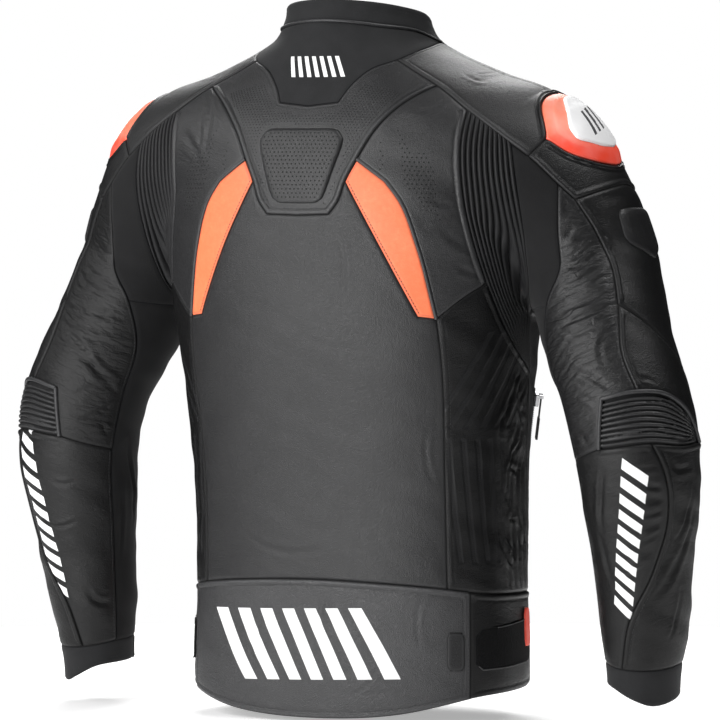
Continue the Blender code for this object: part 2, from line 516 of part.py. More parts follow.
class Form:
    """The jacket's outer shape: negative inside, zero on it, for points on either side."""

    def __init__(self):
        body = np.array(BODY)[::-1]
        self.levels = np.linspace(body[0, 0], body[-1, 0], 400)
        self.body = [smooth(body[:, 0], body[:, column], self.levels) for column in range(1, 5)]
        rows = np.array(SLEEVE)
        run = run_along(rows[:, :3])
        self.along = np.linspace(0.0, run[-1], 241)
        self.centre = smooth(run, rows[:, :3], self.along)
        self.halves = smooth(run, rows[:, 3:], self.along)
        self.down = unit(np.gradient(self.centre, self.along, axis=0))
        self.outside = unit(np.cross(self.down, [0.0, 1.0, 0.0]))
        self.rear = np.cross(self.outside, self.down)

    def on_sleeve(self, table, along):
        """A sleeve table's values at these distances down the sleeve."""
        columns = [np.interp(along, self.along, table[:, k]) for k in range(table.shape[1])]
        return np.stack(columns, axis=-1)

    def down_sleeve(self, points):
        """How far down the sleeve each point lies, for points on the +X side."""
        coarse = self.centre[::6]
        nearest = ((points[:, None, :] - coarse[None]) ** 2).sum(axis=2).argmin(axis=1)
        along = self.along[::6][nearest]
        for _ in range(4):
            gap = points - self.on_sleeve(self.centre, along)
            step = (gap * self.on_sleeve(self.down, along)).sum(axis=1)
            along = np.clip(along + step, 0.0, self.along[-1])
        return along

    def sleeve_chart(self, points):
        """Each point's distance down the sleeve and its angle from the outside to the back."""
        points = np.column_stack([np.abs(points[:, 0]), points[:, 1:]])
        along = self.down_sleeve(points)
        gap = points - self.on_sleeve(self.centre, along)
        across = (gap * self.on_sleeve(self.outside, along)).sum(axis=1)
        deep = (gap * self.on_sleeve(self.rear, along)).sum(axis=1)
        return along, np.arctan2(deep, across)

    def body_value(self, points):
        """How far outside the body and collar each point is, roughly."""
        half, back, front, power = [np.interp(points[:, 2], self.levels, c) for c in self.body]
        depth = np.where(points[:, 1] > 0.0, back, front)
        across = (np.abs(points[:, 0]) / half) ** power
        ring = (across + (np.abs(points[:, 1]) / depth) ** power + 1e-12) ** (1.0 / power)
        return (ring - 1.0) * np.minimum(half, depth)

    def sleeve_value(self, points):
        """How far outside the nearer sleeve each point is, roughly."""
        points = np.column_stack([np.abs(points[:, 0]), points[:, 1:]])
        along = self.down_sleeve(points)
        gap = points - self.on_sleeve(self.centre, along)
        halves = self.on_sleeve(self.halves, along)
        least = halves.min(axis=1)
        across = (gap * self.on_sleeve(self.outside, along)).sum(axis=1) / halves[:, 0]
        deep = (gap * self.on_sleeve(self.rear, along)).sum(axis=1) / halves[:, 1]
        over = (gap * self.on_sleeve(self.down, along)).sum(axis=1) / least
        return (np.sqrt(across ** 2 + deep ** 2 + over ** 2 + 1e-12) - 1.0) * least

    def value(self, points):
        """How far outside the form each point is, with the sleeves blended into the body."""
        body, sleeve = self.body_value(points), self.sleeve_value(points)
        low = np.clip((BLEND_FROM - points[:, 2]) / (BLEND_FROM - BLEND_TO), 0.0, 1.0)
        blend = BLEND_TOP + (BLEND_LOW - BLEND_TOP) * low * low * (3.0 - 2.0 * low)
        near = np.maximum(blend - np.abs(body - sleeve), 0.0) / blend
        return np.minimum(body, sleeve) - near * near * blend / 4.0

    def slope(self, points, reach=0.0005):
        """The value's slope at each point, measured across a short reach."""
        steps = np.eye(3) * reach
        rises = [self.value(points + step) - self.value(points - step) for step in steps]
        return np.stack(rises, axis=1) / (2.0 * reach)

    def normal(self, points):
        """The way out of the cloth at each point."""
        return unit(self.slope(points, 0.008))

    def snap(self, points, rounds=6, share=1.0):
        """The points moved straight onto the form."""
        for _ in range(rounds):
            slope = self.slope(points)
            size = np.maximum((slope ** 2).sum(axis=1), 0.05)
            points = points - slope * (share * self.value(points) / size)[:, None]
        return points

    def sleeve_point(self, along, around):
        """A point on the +X sleeve from its distance down and its angle in radians."""
        at = np.array([along])
        across, deep = self.on_sleeve(self.halves, at)[0]
        reach = 1.0 / math.hypot(math.cos(around) / across, math.sin(around) / deep)
        way = self.on_sleeve(self.outside, at)[0] * math.cos(around)
        way = way + self.on_sleeve(self.rear, at)[0] * math.sin(around)
        return self.on_sleeve(self.centre, at)[0] + way * reach


FORM = Form()


def mirrored(points):
    """The points on the other side of the jacket's middle."""
    return points * np.array([-1.0, 1.0, 1.0])


class Pattern:
    """The named places and the seams between them, on the +X side."""

    def __init__(self):
        self.places = {place.name: np.array(place[1:]) for place in BODY_PLACES}
        for place in SLEEVE_PLACES:
            point = FORM.sleeve_point(place.along, math.radians(place.around))
            self.places[place.name] = point
        names = list(self.places)
        snapped = FORM.snap(np.array([self.places[name] for name in names]))
        for name, point in zip(names, snapped):
            self.places[name] = np.where(self.places[name] == 0.0, 0.0, point)
        self.runs = {name: self.sample(places) for name, places in SEAMS.items()}

    def sample(self, names):
        """A seam's points, and where its named places fall in them."""
        knots = np.array([self.places[name] for name in names])
        lead = 0
        if knots[0, 0] == 0.0 and len(knots) > 2:
            knots = np.concatenate([mirrored(knots[:0:-1]), knots])
            lead = len(names) - 1
        run = run_along(knots)
        at, stops = [], []
        for start, end in zip(run[lead:-1], run[lead + 1:]):
            stops.append(len(at))
            count = max(1, math.ceil((end - start) / SEAM_STEP))
            at.extend(np.linspace(start, end, count, endpoint=False))
        stops.append(len(at))
        at.append(run[-1])
        points = FORM.snap(smooth(run, knots, np.array(at)))
        points[stops] = [self.places[name] for name in names]
        return points, stops

    def run(self, seam, start, end):
        """The points of a seam from one of its places to another, without the last point."""
        names = SEAMS[seam]
        points, stops = self.runs[seam]
        first, last = stops[names.index(start)], stops[names.index(end)]
        if first < last:
            return points[first:last]
        return points[last + 1:first + 1][::-1]


PATTERN = Pattern()


def edged(corners, step):
    """A closed outline with straight edges between its corners, sampled about every step."""
    points = []
    for start, end in zip(corners, np.roll(corners, -1, axis=0)):
        count = max(1, math.ceil(np.linalg.norm(end - start) / step))
        points.extend(start + (end - start) * k / count for k in range(count))
    return np.array(points)


def flat_chart(points):
    """The points seen square to the plane that suits them best, right-handed from outside."""
    middle = points.mean(axis=0)
    axes = np.linalg.svd(points - middle)[2]
    outward = FORM.normal(FORM.snap(middle[None]))[0]
    if np.dot(np.cross(axes[0], axes[1]), outward) < 0.0:
        axes[1] = -axes[1]
    return lambda p: np.column_stack([(p - middle) @ axes[0], (p - middle) @ axes[1]])


def body_chart(points):
    """Round the body and up it, with the turn kept continuous along a line of points."""
    away = math.pi if points[:, 1].mean() < 0.0 else 0.0

    def chart(p):
        turn = np.unwrap(np.arctan2(p[:, 0], p[:, 1]))
        turn = turn - 2.0 * math.pi * np.round((turn[0] - away * np.sign(p[0, 0])) / (2 * math.pi))
        return np.column_stack([-turn * BODY_RADIUS, p[:, 2]])
    return chart


def sleeve_chart(points):
    """Down the sleeve and round it, with the angle kept continuous along a line of points."""
    reach = math.copysign(SLEEVE_RADIUS, points[:, 0].mean())

    def chart(p):
        along, around = FORM.sleeve_chart(p)
        around = np.unwrap(around)
        return np.column_stack([along, around * reach])
    return chart


CHARTS = {"flat": flat_chart, "body": body_chart, "sleeve": sleeve_chart}


def signed_area(flat):
    """A closed outline's area, positive when it runs anticlockwise."""
    after = np.roll(flat, -1, axis=0)
    return 0.5 * (flat[:, 0] * after[:, 1] - after[:, 0] * flat[:, 1]).sum()


def inside(flat, grid):
    """Which grid points lie inside a closed outline."""
    after = np.roll(flat, -1, axis=0)
    x, y = grid[:, :1], grid[:, 1:]
    crosses = (flat[:, 1] > y) != (after[:, 1] > y)
    rise = after[:, 1] - flat[:, 1]
    rise = np.where(rise == 0.0, 1e-12, rise)
    meet = flat[:, 0] + (y - flat[:, 1]) / rise * (after[:, 0] - flat[:, 0])
    return (crosses & (x < meet)).sum(axis=1) % 2 == 1


def clear_of(flat, grid, reach):
    """Which grid points lie further than reach from a closed outline."""
    after = np.roll(flat, -1, axis=0)
    way = after - flat
    gap = grid[:, None, :] - flat[None]
    part = np.clip((gap * way).sum(axis=2) / ((way ** 2).sum(axis=1) + 1e-12), 0.0, 1.0)
    return (np.linalg.norm(gap - part[..., None] * way, axis=2) > reach).all(axis=1)


def drawn_in(outline, normals, clockwise):
    """A closed outline drawn in by half the seam's gap, measured on the form."""
    if clockwise:
        normals = -normals
    ahead = unit(np.roll(outline, -1, axis=0) - outline)
    before = unit(np.cross(normals, np.roll(ahead, 1, axis=0)))
    after = unit(np.cross(normals, ahead))
    share = 1.0 + (before * after).sum(axis=1, keepdims=True)
    return outline + (before + after) / np.maximum(share, 0.3) * (SEAM_GAP / 2.0)


def runs_clockwise(outline, chart_name):
    """Whether a closed outline runs clockwise, seen from outside the jacket."""
    cloth = cut_cloth(outline, FORM.normal(outline), chart_name, [], step=1.0)
    count = len(outline)
    with_it = sum((t[(k + 1) % 3] - t[k]) % count == 1 for t in cloth.triangles for k in range(3))
    against = sum((t[k] - t[(k + 1) % 3]) % count == 1 for t in cloth.triangles for k in range(3))
    return against > with_it


class Cloth(NamedTuple):
    """A panel's points on the form, its triangles, and the triangles that each inlay covers."""
    points: np.ndarray
    normals: np.ndarray
    triangles: np.ndarray
    covered: list


def cut_cloth(outline, edge_normals, chart_name, inlays, step=CLOTH_STEP):
    """Fill a closed outline with cloth that follows the form.

    The outline and the inlays' outlines are 3-D points. Their triangles are found on a flat
    chart, the points inside are spread evenly between the edges, and then lie down on the form.
    Both panels at a seam take the seam's own normals, so that their edges stay parallel. A
    sliver that would lie back to front along a curved seam is left out.
    """
    chart = CHARTS[chart_name](outline)
    flat = chart(outline)
    inner_flat = []
    for inlay in inlays:
        joined = chart(np.concatenate([outline[:1], inlay]))
        inner_flat.append(joined[1:])
    spans = np.ptp(flat, axis=0)
    low = flat.min(axis=0)
    rows = np.arange(0, spans[1] + step, step * 0.866)
    grid = np.array([(x + (k % 2) * step / 2.0, y) for k, y in enumerate(rows)
                     for x in np.arange(0, spans[0] + step, step)]) + low
    grid = grid[inside(flat, grid) & clear_of(flat, grid, step * 0.6)]
    for ring in inner_flat:
        grid = grid[clear_of(ring, grid, step * 0.35)]
    known = np.concatenate([outline] + list(inlays))
    places = np.concatenate([flat] + inner_flat + [grid])
    rings, start = [], 0
    for ring in [flat] + inner_flat:
        numbers = list(range(start, start + len(ring)))
        rings.append(numbers if signed_area(ring) > 0.0 else numbers[::-1])
        start += len(ring)
    found = delaunay_2d_cdt([Vector(p) for p in places], [], rings, 1, 1e-7, True)
    triangles = np.array([[found[3][corner][0] for corner in face] for face in found[2]])
    middles = places[triangles].mean(axis=1)
    triangles = triangles[inside(flat, middles)]
    middles = places[triangles].mean(axis=1)
    covered = [inside(ring, middles) for ring in inner_flat]
    points = spread(known, places, triangles)
    normals = FORM.normal(points)
    normals[:len(outline)] = edge_normals
    corners = points[triangles]
    faces = np.cross(corners[:, 1] - corners[:, 0], corners[:, 2] - corners[:, 0])
    facing = (faces * normals[triangles].sum(axis=1)).sum(axis=1)
    if facing.sum() < 0.0:
        triangles, facing = triangles[:, ::-1], -facing
    outward = facing > 0.0
    return Cloth(points, normals, triangles[outward], [covers[outward] for covers in covered])


def spread(known, flat, triangles, rounds=4):
    """Spread the points that aren't known as the flat chart has them, and onto the form.

    Each free point hangs between its neighbours with mean value weights, which keep the
    chart's layout, so that the cloth can't fold over an outline that turns inwards.
    """
    fixed, count = len(known), len(flat)
    if count == fixed:
        return known
    links = np.zeros((count, count))
    for turn in range(3):
        here, there, other = (triangles[:, (turn + k) % 3] for k in range(3))
        first, second = flat[there] - flat[here], flat[other] - flat[here]
        long_first, long_second = np.hypot(*first.T), np.hypot(*second.T)
        cosine = (first * second).sum(axis=1) / (long_first * long_second)
        half_angle = np.tan(np.arccos(np.clip(cosine, -1.0, 1.0)) / 2.0)
        np.add.at(links, (here, there), half_angle / long_first)
        np.add.at(links, (here, other), half_angle / long_second)
    links = links[fixed:] / links[fixed:].sum(axis=1, keepdims=True)
    free = np.eye(count - fixed) - links[:, fixed:]
    points = np.concatenate([known, np.linalg.solve(free, links[:, :fixed] @ known)])
    for _ in range(rounds):
        points[fixed:] = FORM.snap(points[fixed:], 3, 0.7)
        points[fixed:] = links @ points
    points[fixed:] = FORM.snap(points[fixed:], 6)
    return points


def wall(name, cloth, triangles, low, high, finish, collection):
    """A closed wall of cloth between two heights above the form."""
    used, corners = np.unique(triangles, return_inverse=True)
    corners = corners.reshape(triangles.shape)
    points, normals = cloth.points[used], cloth.normals[used]
    bm = bmesh.new()
    top = [bm.verts.new(point) for point in points + normals * high]
    base = [bm.verts.new(point) for point in points + normals * low]
    edges = {}
    for a, b, c in corners:
        bm.faces.new((top[a], top[b], top[c]))
        bm.faces.new((base[c], base[b], base[a]))
        for start, end in ((a, b), (b, c), (c, a)):
            edges[(start, end)] = True
    lean = points @ np.array(SPLIT_WAY)
    for start, end in edges:
        if (end, start) in edges:
            continue
        if lean[start] < lean[end]:
            bm.faces.new((top[end], top[start], base[end]))
            bm.faces.new((top[start], base[start], base[end]))
        else:
            bm.faces.new((top[end], top[start], base[start]))
            bm.faces.new((top[end], base[start], base[end]))
    mesh = bpy.data.meshes.new(name)
    bm.to_mesh(mesh)
    bm.free()
    mesh.shade_smooth()
    mesh.set_sharp_from_angle(angle=math.radians(40.0))
    return place_object(name, mesh, finish, collection)


def material_for(name, finish):
    """A Principled material of its own for one sub-part."""
    material = bpy.data.materials.new(name)
    material.use_nodes = True
    shader = material.node_tree.nodes["Principled BSDF"]
    shader.inputs["Base Color"].default_value = finish.colour
    shader.inputs["Roughness"].default_value = finish.roughness
    shader.inputs["Metallic"].default_value = finish.metallic
    return material


def place_object(name, mesh, finish, collection):
    """An object for a mesh, in the collection, with a material of its own."""
    shape = bpy.data.objects.new(name, mesh)
    mesh.materials.clear()
    mesh.materials.append(material_for(name, finish))
    collection.objects.link(shape)
    return shape


def outline_of(panel, side):
    """A panel's closed outline on the right (side -1), on the left (1) or across the middle (0)."""
    outline = np.concatenate([PATTERN.run(*run) for run in panel.loop])
    if side == 0:
        last = PATTERN.places[panel.loop[-1][2]]
        outline = np.concatenate([outline, last[None]])
        return np.concatenate([outline, mirrored(outline[-2:0:-1])])
    return outline if side > 0 else mirrored(outline)


def inlay_outline(inlay, side):
    """An inlay's closed outline on the form, on one side or across the middle."""
    corners = np.array(inlay.outline)
    if side == 0:
        corners = np.concatenate([corners, mirrored(corners[-2:0:-1])])
    elif side < 0:
        corners = mirrored(corners)
    return FORM.snap(edged(corners, SEAM_STEP))


def sew(panel, side, inlays, collection):
    """Build one panel and the inlays on it."""
    suffix = {-1: "_right", 0: "", 1: "_left"}[side]
    outline = outline_of(panel, side)
    normals = FORM.normal(outline)
    edge = drawn_in(outline, normals, runs_clockwise(outline, panel.chart))
    rings = [inlay_outline(inlay, side) for inlay in inlays]
    cloth = cut_cloth(edge, normals, panel.chart, rings)
    wall(panel.name + suffix, cloth, cloth.triangles, panel.rise - panel.thickness, panel.rise,
         panel.finish, collection)
    base = panel.rise + SEAM_GAP
    for inlay, covers in zip(inlays, cloth.covered):
        wall(inlay.name + suffix, cloth, cloth.triangles[covers], base, base + inlay.thickness,
             inlay.finish, collection)


def block(name, size, centre, cutters):
    """A hidden box that a Boolean joins to another shape."""
    bm = bmesh.new()
    place = Matrix.Translation(centre) @ Matrix.Diagonal((*size, 1.0))
    bmesh.ops.create_cube(bm, size=1.0, matrix=place)
    return hidden_shape(name, bm, cutters)


def rod(name, radius, length, centre, cutters, segments=16):
    """A hidden rod across a zip, which a Boolean joins or cuts."""
    bm = bmesh.new()
    place = Matrix.Translation(centre) @ Matrix.Rotation(math.pi / 2.0, 4, "Y")
    bmesh.ops.create_cone(bm, cap_ends=True, segments=segments, radius1=radius, radius2=radius,
                          depth=length, matrix=place)
    return hidden_shape(name, bm, cutters)


def hidden_shape(name, bm, cutters):
    """A shape in the cutters' collection, which isn't part of the jacket."""
    mesh = bpy.data.meshes.new(name)
    bm.to_mesh(mesh)
    bm.free()
    shape = bpy.data.objects.new(name, mesh)
    shape.hide_render = True
    shape.display_type = "WIRE"
    cutters.objects.link(shape)
    return shape


def combined(base, steps, bevel):
    """The mesh of a shape with others joined to it or cut from it, and its edges rounded."""
    rounding = base.modifiers.new("Bevel", "BEVEL")
    rounding.width = bevel
    rounding.segments = 2
    for operation, other in steps:
        change = base.modifiers.new(operation.title(), "BOOLEAN")
        change.operation = operation
        change.object = other
    evaluated = base.evaluated_get(bpy.context.evaluated_depsgraph_get())
    mesh = bpy.data.meshes.new_from_object(evaluated)
    mesh.name = base.name
    for shape in [base] + [other for _, other in steps]:
        bpy.data.objects.remove(shape)
    return mesh


def zip_slider_mesh(cutters):
    """A zip's slider: a body on the teeth, with two ears that hold the pull's pin."""
    width, depth, length = ZIP_BODY
    body = block("zip_slider", ZIP_BODY, (0.0, ZIP_SEAT + depth / 2.0, 0.0), cutters)
    out = ZIP_SEAT + depth - 0.0005 + ZIP_EAR[1] / 2.0
    ears = [block("ear", ZIP_EAR, (side * ZIP_EAR_SPREAD, out, PIN_ABOVE), cutters)
            for side in (-1, 1)]
    pin = rod("pin", PIN_RADIUS, 2.0 * ZIP_EAR_SPREAD, (0.0, PIN_OUT, PIN_ABOVE), cutters)
    return combined(body, [("UNION", ears[0]), ("UNION", ears[1]), ("UNION", pin)], 0.0008)


def zip_pull_mesh(cutters):
    """A zip's pull, with its origin on the pin that it swings on."""
    hub_length = 2.0 * ZIP_EAR_SPREAD - ZIP_EAR[0] - 0.0008
    grip_length = PULL_LENGTH * 0.5
    plate = block("zip_pull", (PULL_WIDTH, PULL_DEPTH, PULL_LENGTH),
                  (0.0, 0.0, -PULL_LENGTH / 2.0), cutters)
    grip = block("grip", (PULL_WIDTH * 1.4, PULL_DEPTH * 1.5, grip_length),
                 (0.0, 0.0, grip_length / 2.0 - PULL_LENGTH - 0.001), cutters)
    hub = rod("hub", HUB_RADIUS, hub_length, (0.0, 0.0, 0.0), cutters)
    bore = rod("bore", HUB_BORE, 0.02, (0.0, 0.0, 0.0), cutters)
    return combined(plate, [("UNION", grip), ("UNION", hub), ("DIFFERENCE", bore)], 0.0004)


def zip_frame(at, up, lift):
    """A frame above the form at a zip's slider: X across, Y out of the cloth, Z up the zip."""
    point = FORM.snap(np.array([at]))
    out = FORM.normal(point)[0]
    along = np.array(up) - np.dot(up, out) * out
    along = along / np.linalg.norm(along)
    across = np.cross(out, along)
    frame = Matrix([[*row, 0.0] for row in np.column_stack([across, out, along])] + [[0, 0, 0, 1]])
    frame.translation = point[0] + out * lift
    return frame


def add_zip_hardware(collection, cutters):
    """The sliders of the front zip and the two pocket zips, each with a pull that swings."""
    slider, pull = zip_slider_mesh(cutters), zip_pull_mesh(cutters)
    flip = (-1.0, 1.0, 1.0)
    right_at = tuple(a * b for a, b in zip(POCKET_SLIDER_AT, flip))
    right_up = tuple(a * b for a, b in zip(POCKET_SLIDER_UP, flip))
    on_inlay = SEAM_GAP + TAPE
    for name, at, up, lift in (("front", FRONT_SLIDER_AT, FRONT_SLIDER_UP, FRONT_SLIDER_LIFT),
                               ("pocket_left", POCKET_SLIDER_AT, POCKET_SLIDER_UP, on_inlay),
                               ("pocket_right", right_at, right_up, on_inlay)):
        frame = zip_frame(at, up, lift)
        body = place_object(name + "_zip_slider", slider.copy(), SILVER_METAL, collection)
        body.matrix_world = frame
        tab = place_object(name + "_zip_pull", pull.copy(), BLACK_RUBBER, collection)
        tab.matrix_world = frame @ Matrix.Translation((0.0, PIN_OUT, PIN_ABOVE))


def main():
    """Clear the scene and build the jacket."""
    for shape in list(bpy.data.objects):
        bpy.data.objects.remove(shape)
    jacket = bpy.data.collections.new("Riding jacket")
    cutters = bpy.data.collections.new("Cutters")
    for collection in (jacket, cutters):
        bpy.context.scene.collection.children.link(collection)
    for panel in MIDDLE_PANELS:
        sew(panel, 0, [inlay for inlay in MIDDLE_INLAYS if inlay.panel == panel.name], jacket)
    for panel in SIDE_PANELS:
        inlays = [inlay for inlay in SIDE_INLAYS if inlay.panel == panel.name]
        for side in (-1, 1):
            sew(panel, side, inlays, jacket)
    add_zip_hardware(jacket, cutters)


main()
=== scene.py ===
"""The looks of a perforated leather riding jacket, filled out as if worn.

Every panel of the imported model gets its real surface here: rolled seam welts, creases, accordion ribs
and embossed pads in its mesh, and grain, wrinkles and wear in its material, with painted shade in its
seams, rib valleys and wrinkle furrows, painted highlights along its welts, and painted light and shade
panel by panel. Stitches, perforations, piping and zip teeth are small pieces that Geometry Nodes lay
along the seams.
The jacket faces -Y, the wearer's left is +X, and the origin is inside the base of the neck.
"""

from __future__ import annotations

import json
import logging
import math
from dataclasses import dataclass, replace
from enum import Enum
from typing import Callable, NamedTuple

import bpy
import numpy as np
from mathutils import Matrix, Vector
from mathutils.bvhtree import BVHTree
from mathutils.geometry import delaunay_2d_cdt

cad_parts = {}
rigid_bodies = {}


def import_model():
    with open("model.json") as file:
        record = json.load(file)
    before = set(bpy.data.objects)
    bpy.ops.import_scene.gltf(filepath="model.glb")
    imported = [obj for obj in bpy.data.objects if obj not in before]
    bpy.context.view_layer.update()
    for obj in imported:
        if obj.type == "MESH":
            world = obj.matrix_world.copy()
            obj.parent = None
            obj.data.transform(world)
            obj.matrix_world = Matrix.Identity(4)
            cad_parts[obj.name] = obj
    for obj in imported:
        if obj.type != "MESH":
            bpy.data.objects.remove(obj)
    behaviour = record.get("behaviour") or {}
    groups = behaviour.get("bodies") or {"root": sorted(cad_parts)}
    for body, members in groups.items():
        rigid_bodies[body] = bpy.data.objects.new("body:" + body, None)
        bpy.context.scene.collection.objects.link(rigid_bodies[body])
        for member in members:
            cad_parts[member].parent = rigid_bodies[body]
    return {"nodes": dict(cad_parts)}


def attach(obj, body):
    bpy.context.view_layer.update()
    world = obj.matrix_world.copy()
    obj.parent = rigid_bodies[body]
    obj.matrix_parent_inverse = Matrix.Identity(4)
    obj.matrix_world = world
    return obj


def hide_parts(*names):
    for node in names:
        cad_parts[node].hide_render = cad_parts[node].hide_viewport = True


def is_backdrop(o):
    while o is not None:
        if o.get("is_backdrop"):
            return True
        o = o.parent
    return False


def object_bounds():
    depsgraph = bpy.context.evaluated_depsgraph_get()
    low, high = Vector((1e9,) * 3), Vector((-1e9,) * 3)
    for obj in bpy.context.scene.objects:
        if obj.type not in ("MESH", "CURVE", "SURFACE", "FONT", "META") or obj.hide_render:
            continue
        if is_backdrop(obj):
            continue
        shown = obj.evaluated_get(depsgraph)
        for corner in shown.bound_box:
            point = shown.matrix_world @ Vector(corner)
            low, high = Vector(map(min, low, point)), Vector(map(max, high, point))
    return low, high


LOG = logging.getLogger("riding_jacket")
Numbers = np.ndarray

# Sizes that the model shares with its CAD, in metres: the gap in a seam, the spacing of the points
# that shape a panel, the thickness of each cloth and pad, and how far the slider's top stands out.
SEAM_GAP, COARSE_STEP, CLOTH_STEP = 0.0003, 0.026, 0.030
LEATHER, STRETCH, NEOPRENE, PADDED, TAPE = 0.0020, 0.0020, 0.0030, 0.0040, 0.0012
SLIDER_SHELL, SLIDER_RISE, CAP_SHELL, SPINE_PAD, ARM_PAD = 0.0060, 0.0045, 0.0025, 0.0035, 0.0040

# The sleeve runs into the body over a soft blend, which tightens between these two heights.
BLEND_TOP, BLEND_LOW = 0.045, 0.012
BLEND_FROM, BLEND_TO = -0.10, -0.20

# Mean radii that turn an angle round the body or the sleeve into a length on a flat chart.
BODY_RADIUS, SLEEVE_RADIUS = 0.14, 0.058

# How finely the cloth's surface, its seams and its inner face are sampled.
FINE_STEP, SEAM_STEP, INNER_STEP = 0.0036, 0.0036, 0.0075

# How far in from its edge leather and softer cloth have their close rows of points.
LEATHER_ROWS = (0.0009, 0.0020, 0.0032, 0.0046, 0.0058, 0.0066, 0.0076)
CLOTH_ROWS = (0.0012, 0.0028, 0.0050)

# The depth of a common crease, and the depth that several together come near to.
CREASE_DEPTH, DEEPEST = 0.0015, 0.0020

# The leather's grain, and how far a stitch or a punched hole stands off the surface.
GRAIN, TRIM_LIFT = 0.00011, 0.00012

# How much deeper the lining lies behind the front panels, clear of the folds at the armpits.
FRONT_LINING_DROP = 0.0035

# Level cuts through the body and collar: height, half width, depth to the back and to the front in
# millimetres, and squareness.
BODY = np.array((
    (90, 70, 76, 54, 2.0), (61, 71, 77, 56, 2.0), (39, 74, 81, 62, 2.0), (20, 85, 87, 66, 2.0),
    (5, 108, 92, 72, 2.1), (-10, 132, 97, 80, 2.2), (-30, 163, 106, 90, 2.3), (-60, 190, 121, 103, 2.4),
    (-105, 202, 133, 112, 2.4), (-155, 202, 136, 115, 2.4), (-220, 194, 134, 114, 2.4),
    (-290, 185, 128, 109, 2.4), (-350, 178, 117, 111, 2.4), (-430, 172, 107, 118, 2.4),
    (-520, 171, 104, 122, 2.4), (-600, 173, 106, 124, 2.4), (-680, 172, 104, 122, 2.4),
)) / (1000.0, 1000.0, 1000.0, 1000.0, 1.0)

# Cuts square to the sleeve's centre line, in millimetres: the centre's place out from the middle, to
# the back and up, and the half widths across and deep.
SLEEVE = np.array((
    (85, 10, -60, 45, 64), (140, 6, -71, 52, 72), (184, 2, -88, 62, 77), (210, -1, -118, 67, 77),
    (231, -8, -158, 67, 75), (247, -12, -198, 66, 72), (263, -3, -238, 64, 69), (278, 8, -278, 62, 66),
    (296, 17, -318, 61, 64), (309, 20, -358, 62, 63), (314, 16, -398, 60, 62), (313, 9, -438, 56, 58),
    (312, 3, -478, 50, 54), (311, -2, -518, 46, 50), (309, -7, -558, 42, 46), (307, -11, -598, 36, 41),
    (305, -14, -650, 34, 40),
)) / 1000.0

# Named places near the form, in millimetres across from the middle, to the back and up.
BODY_PLACES: dict[str, tuple[float, float, float]] = {
    "rim_back": (0, 77, 61), "rim_rear": (64, 34, 54), "rim_side": (72, -8, 47), "rim_turn": (56, -40, 37),
    "rim_front": (8, -61, 26), "rim_middle": (0, -61, 26), "fold_back": (0, 82, 40),
    "fold_rear": (52, 64, 36), "fold_side": (78, 14, 27), "fold_end": (87, -7, 19),
    "neck_front": (86, -34, 9), "neck_turn": (60, -60, 0), "neck_zip": (8, -79, -10),
    "patch_rise": (90, 34, 12), "seam_patch": (78, 73, 1), "patch_turn": (55, 91, -10),
    "patch_low": (41, 102, -25), "patch_corner": (32, 111, -41), "patch_bottom": (0, 113, -45),
    "yoke_top": (125, 79, -25), "rib_top_in": (161, 86, -49), "rib_top_out": (206, 81, -82),
    "slider_seam": (222, 76, -94), "arm_top": (249, 65, -121), "arm_seam": (263, 56, -136),
    "yoke_hollow": (94, 108, -48), "yoke_waist": (77, 119, -69), "wedge_top": (62, 128, -97),
    "wedge_heel": (51, 133, -119), "yoke_low": (44, 134, -138), "yoke_corner": (34, 135, -151),
    "yoke_bottom": (0, 136, -152), "wedge_inner": (87, 128, -184), "wedge_foot": (120, 112, -251),
    "wedge_tip": (136, 103, -253), "wedge_knee": (92, 126, -118), "wedge_bend": (106, 123, -137),
    "wedge_outer": (122, 117, -181), "princess_high": (138, 96, -293), "princess_low": (134, 80, -401),
    "princess_belt": (134, 74, -519), "blade_low": (158, 89, -233), "blade_end": (175, 71, -218),
    "rib_in_high": (160, 98, -80), "rib_in_mid": (161, 97, -126), "rib_in_low": (166, 88, -170),
    "rib_in_foot": (184, 37, -271), "rib_tip": (183, -11, -307), "rib_out_high": (212, 77, -137),
    "rib_out_low": (209, 57, -186), "rib_out_foot": (203, 30, -226), "armpit": (197, 6, -242),
    "side_waist": (178, -32, -400), "side_belt": (164, -54, -527), "belt_middle": (0, 104, -511),
    "belt_back": (66, 99, -513), "belt_pad": (151, 59, -522), "belt_front": (125, -95, -530),
    "belt_zip": (8, -122, -532), "hem_middle": (0, 105, -648), "hem_back": (92, 95, -642),
    "hem_pad": (152, 61, -627), "hem_side": (164, -60, -617), "hem_front": (125, -97, -606),
    "hem_zip": (8, -124, -599), "zip_end": (0, -124, -599), "zip_chest": (8, -114, -140),
    "zip_waist": (8, -111, -340), "chest_neck": (118, -62, -20), "chest_shoulder": (160, -78, -52),
    "slider_front": (222, -74, -96), "arm_front": (262, -56, -138), "armhole_high": (216, -78, -135),
    "armhole_mid": (205, -73, -180), "armhole_low": (197, -46, -222), "slider_rear": (234, 60, -77),
    "slider_neck_rear": (219, 38, -43), "slider_neck": (216, -5, -34), "slider_neck_front": (219, -44, -44),
    "slider_fore": (234, -62, -78), "slider_drop_rear": (254, 50, -90), "slider_drop": (281, -2, -102),
    "slider_drop_front": (256, -52, -92), "drop_rear": (283, 26, -126), "drop_side": (288, -8, -122),
    "drop_front": (281, -36, -128), "inner_high": (248, 64, -164), "inner_mid": (247, 61, -207),
    "inner_low": (233, 56, -240),
}

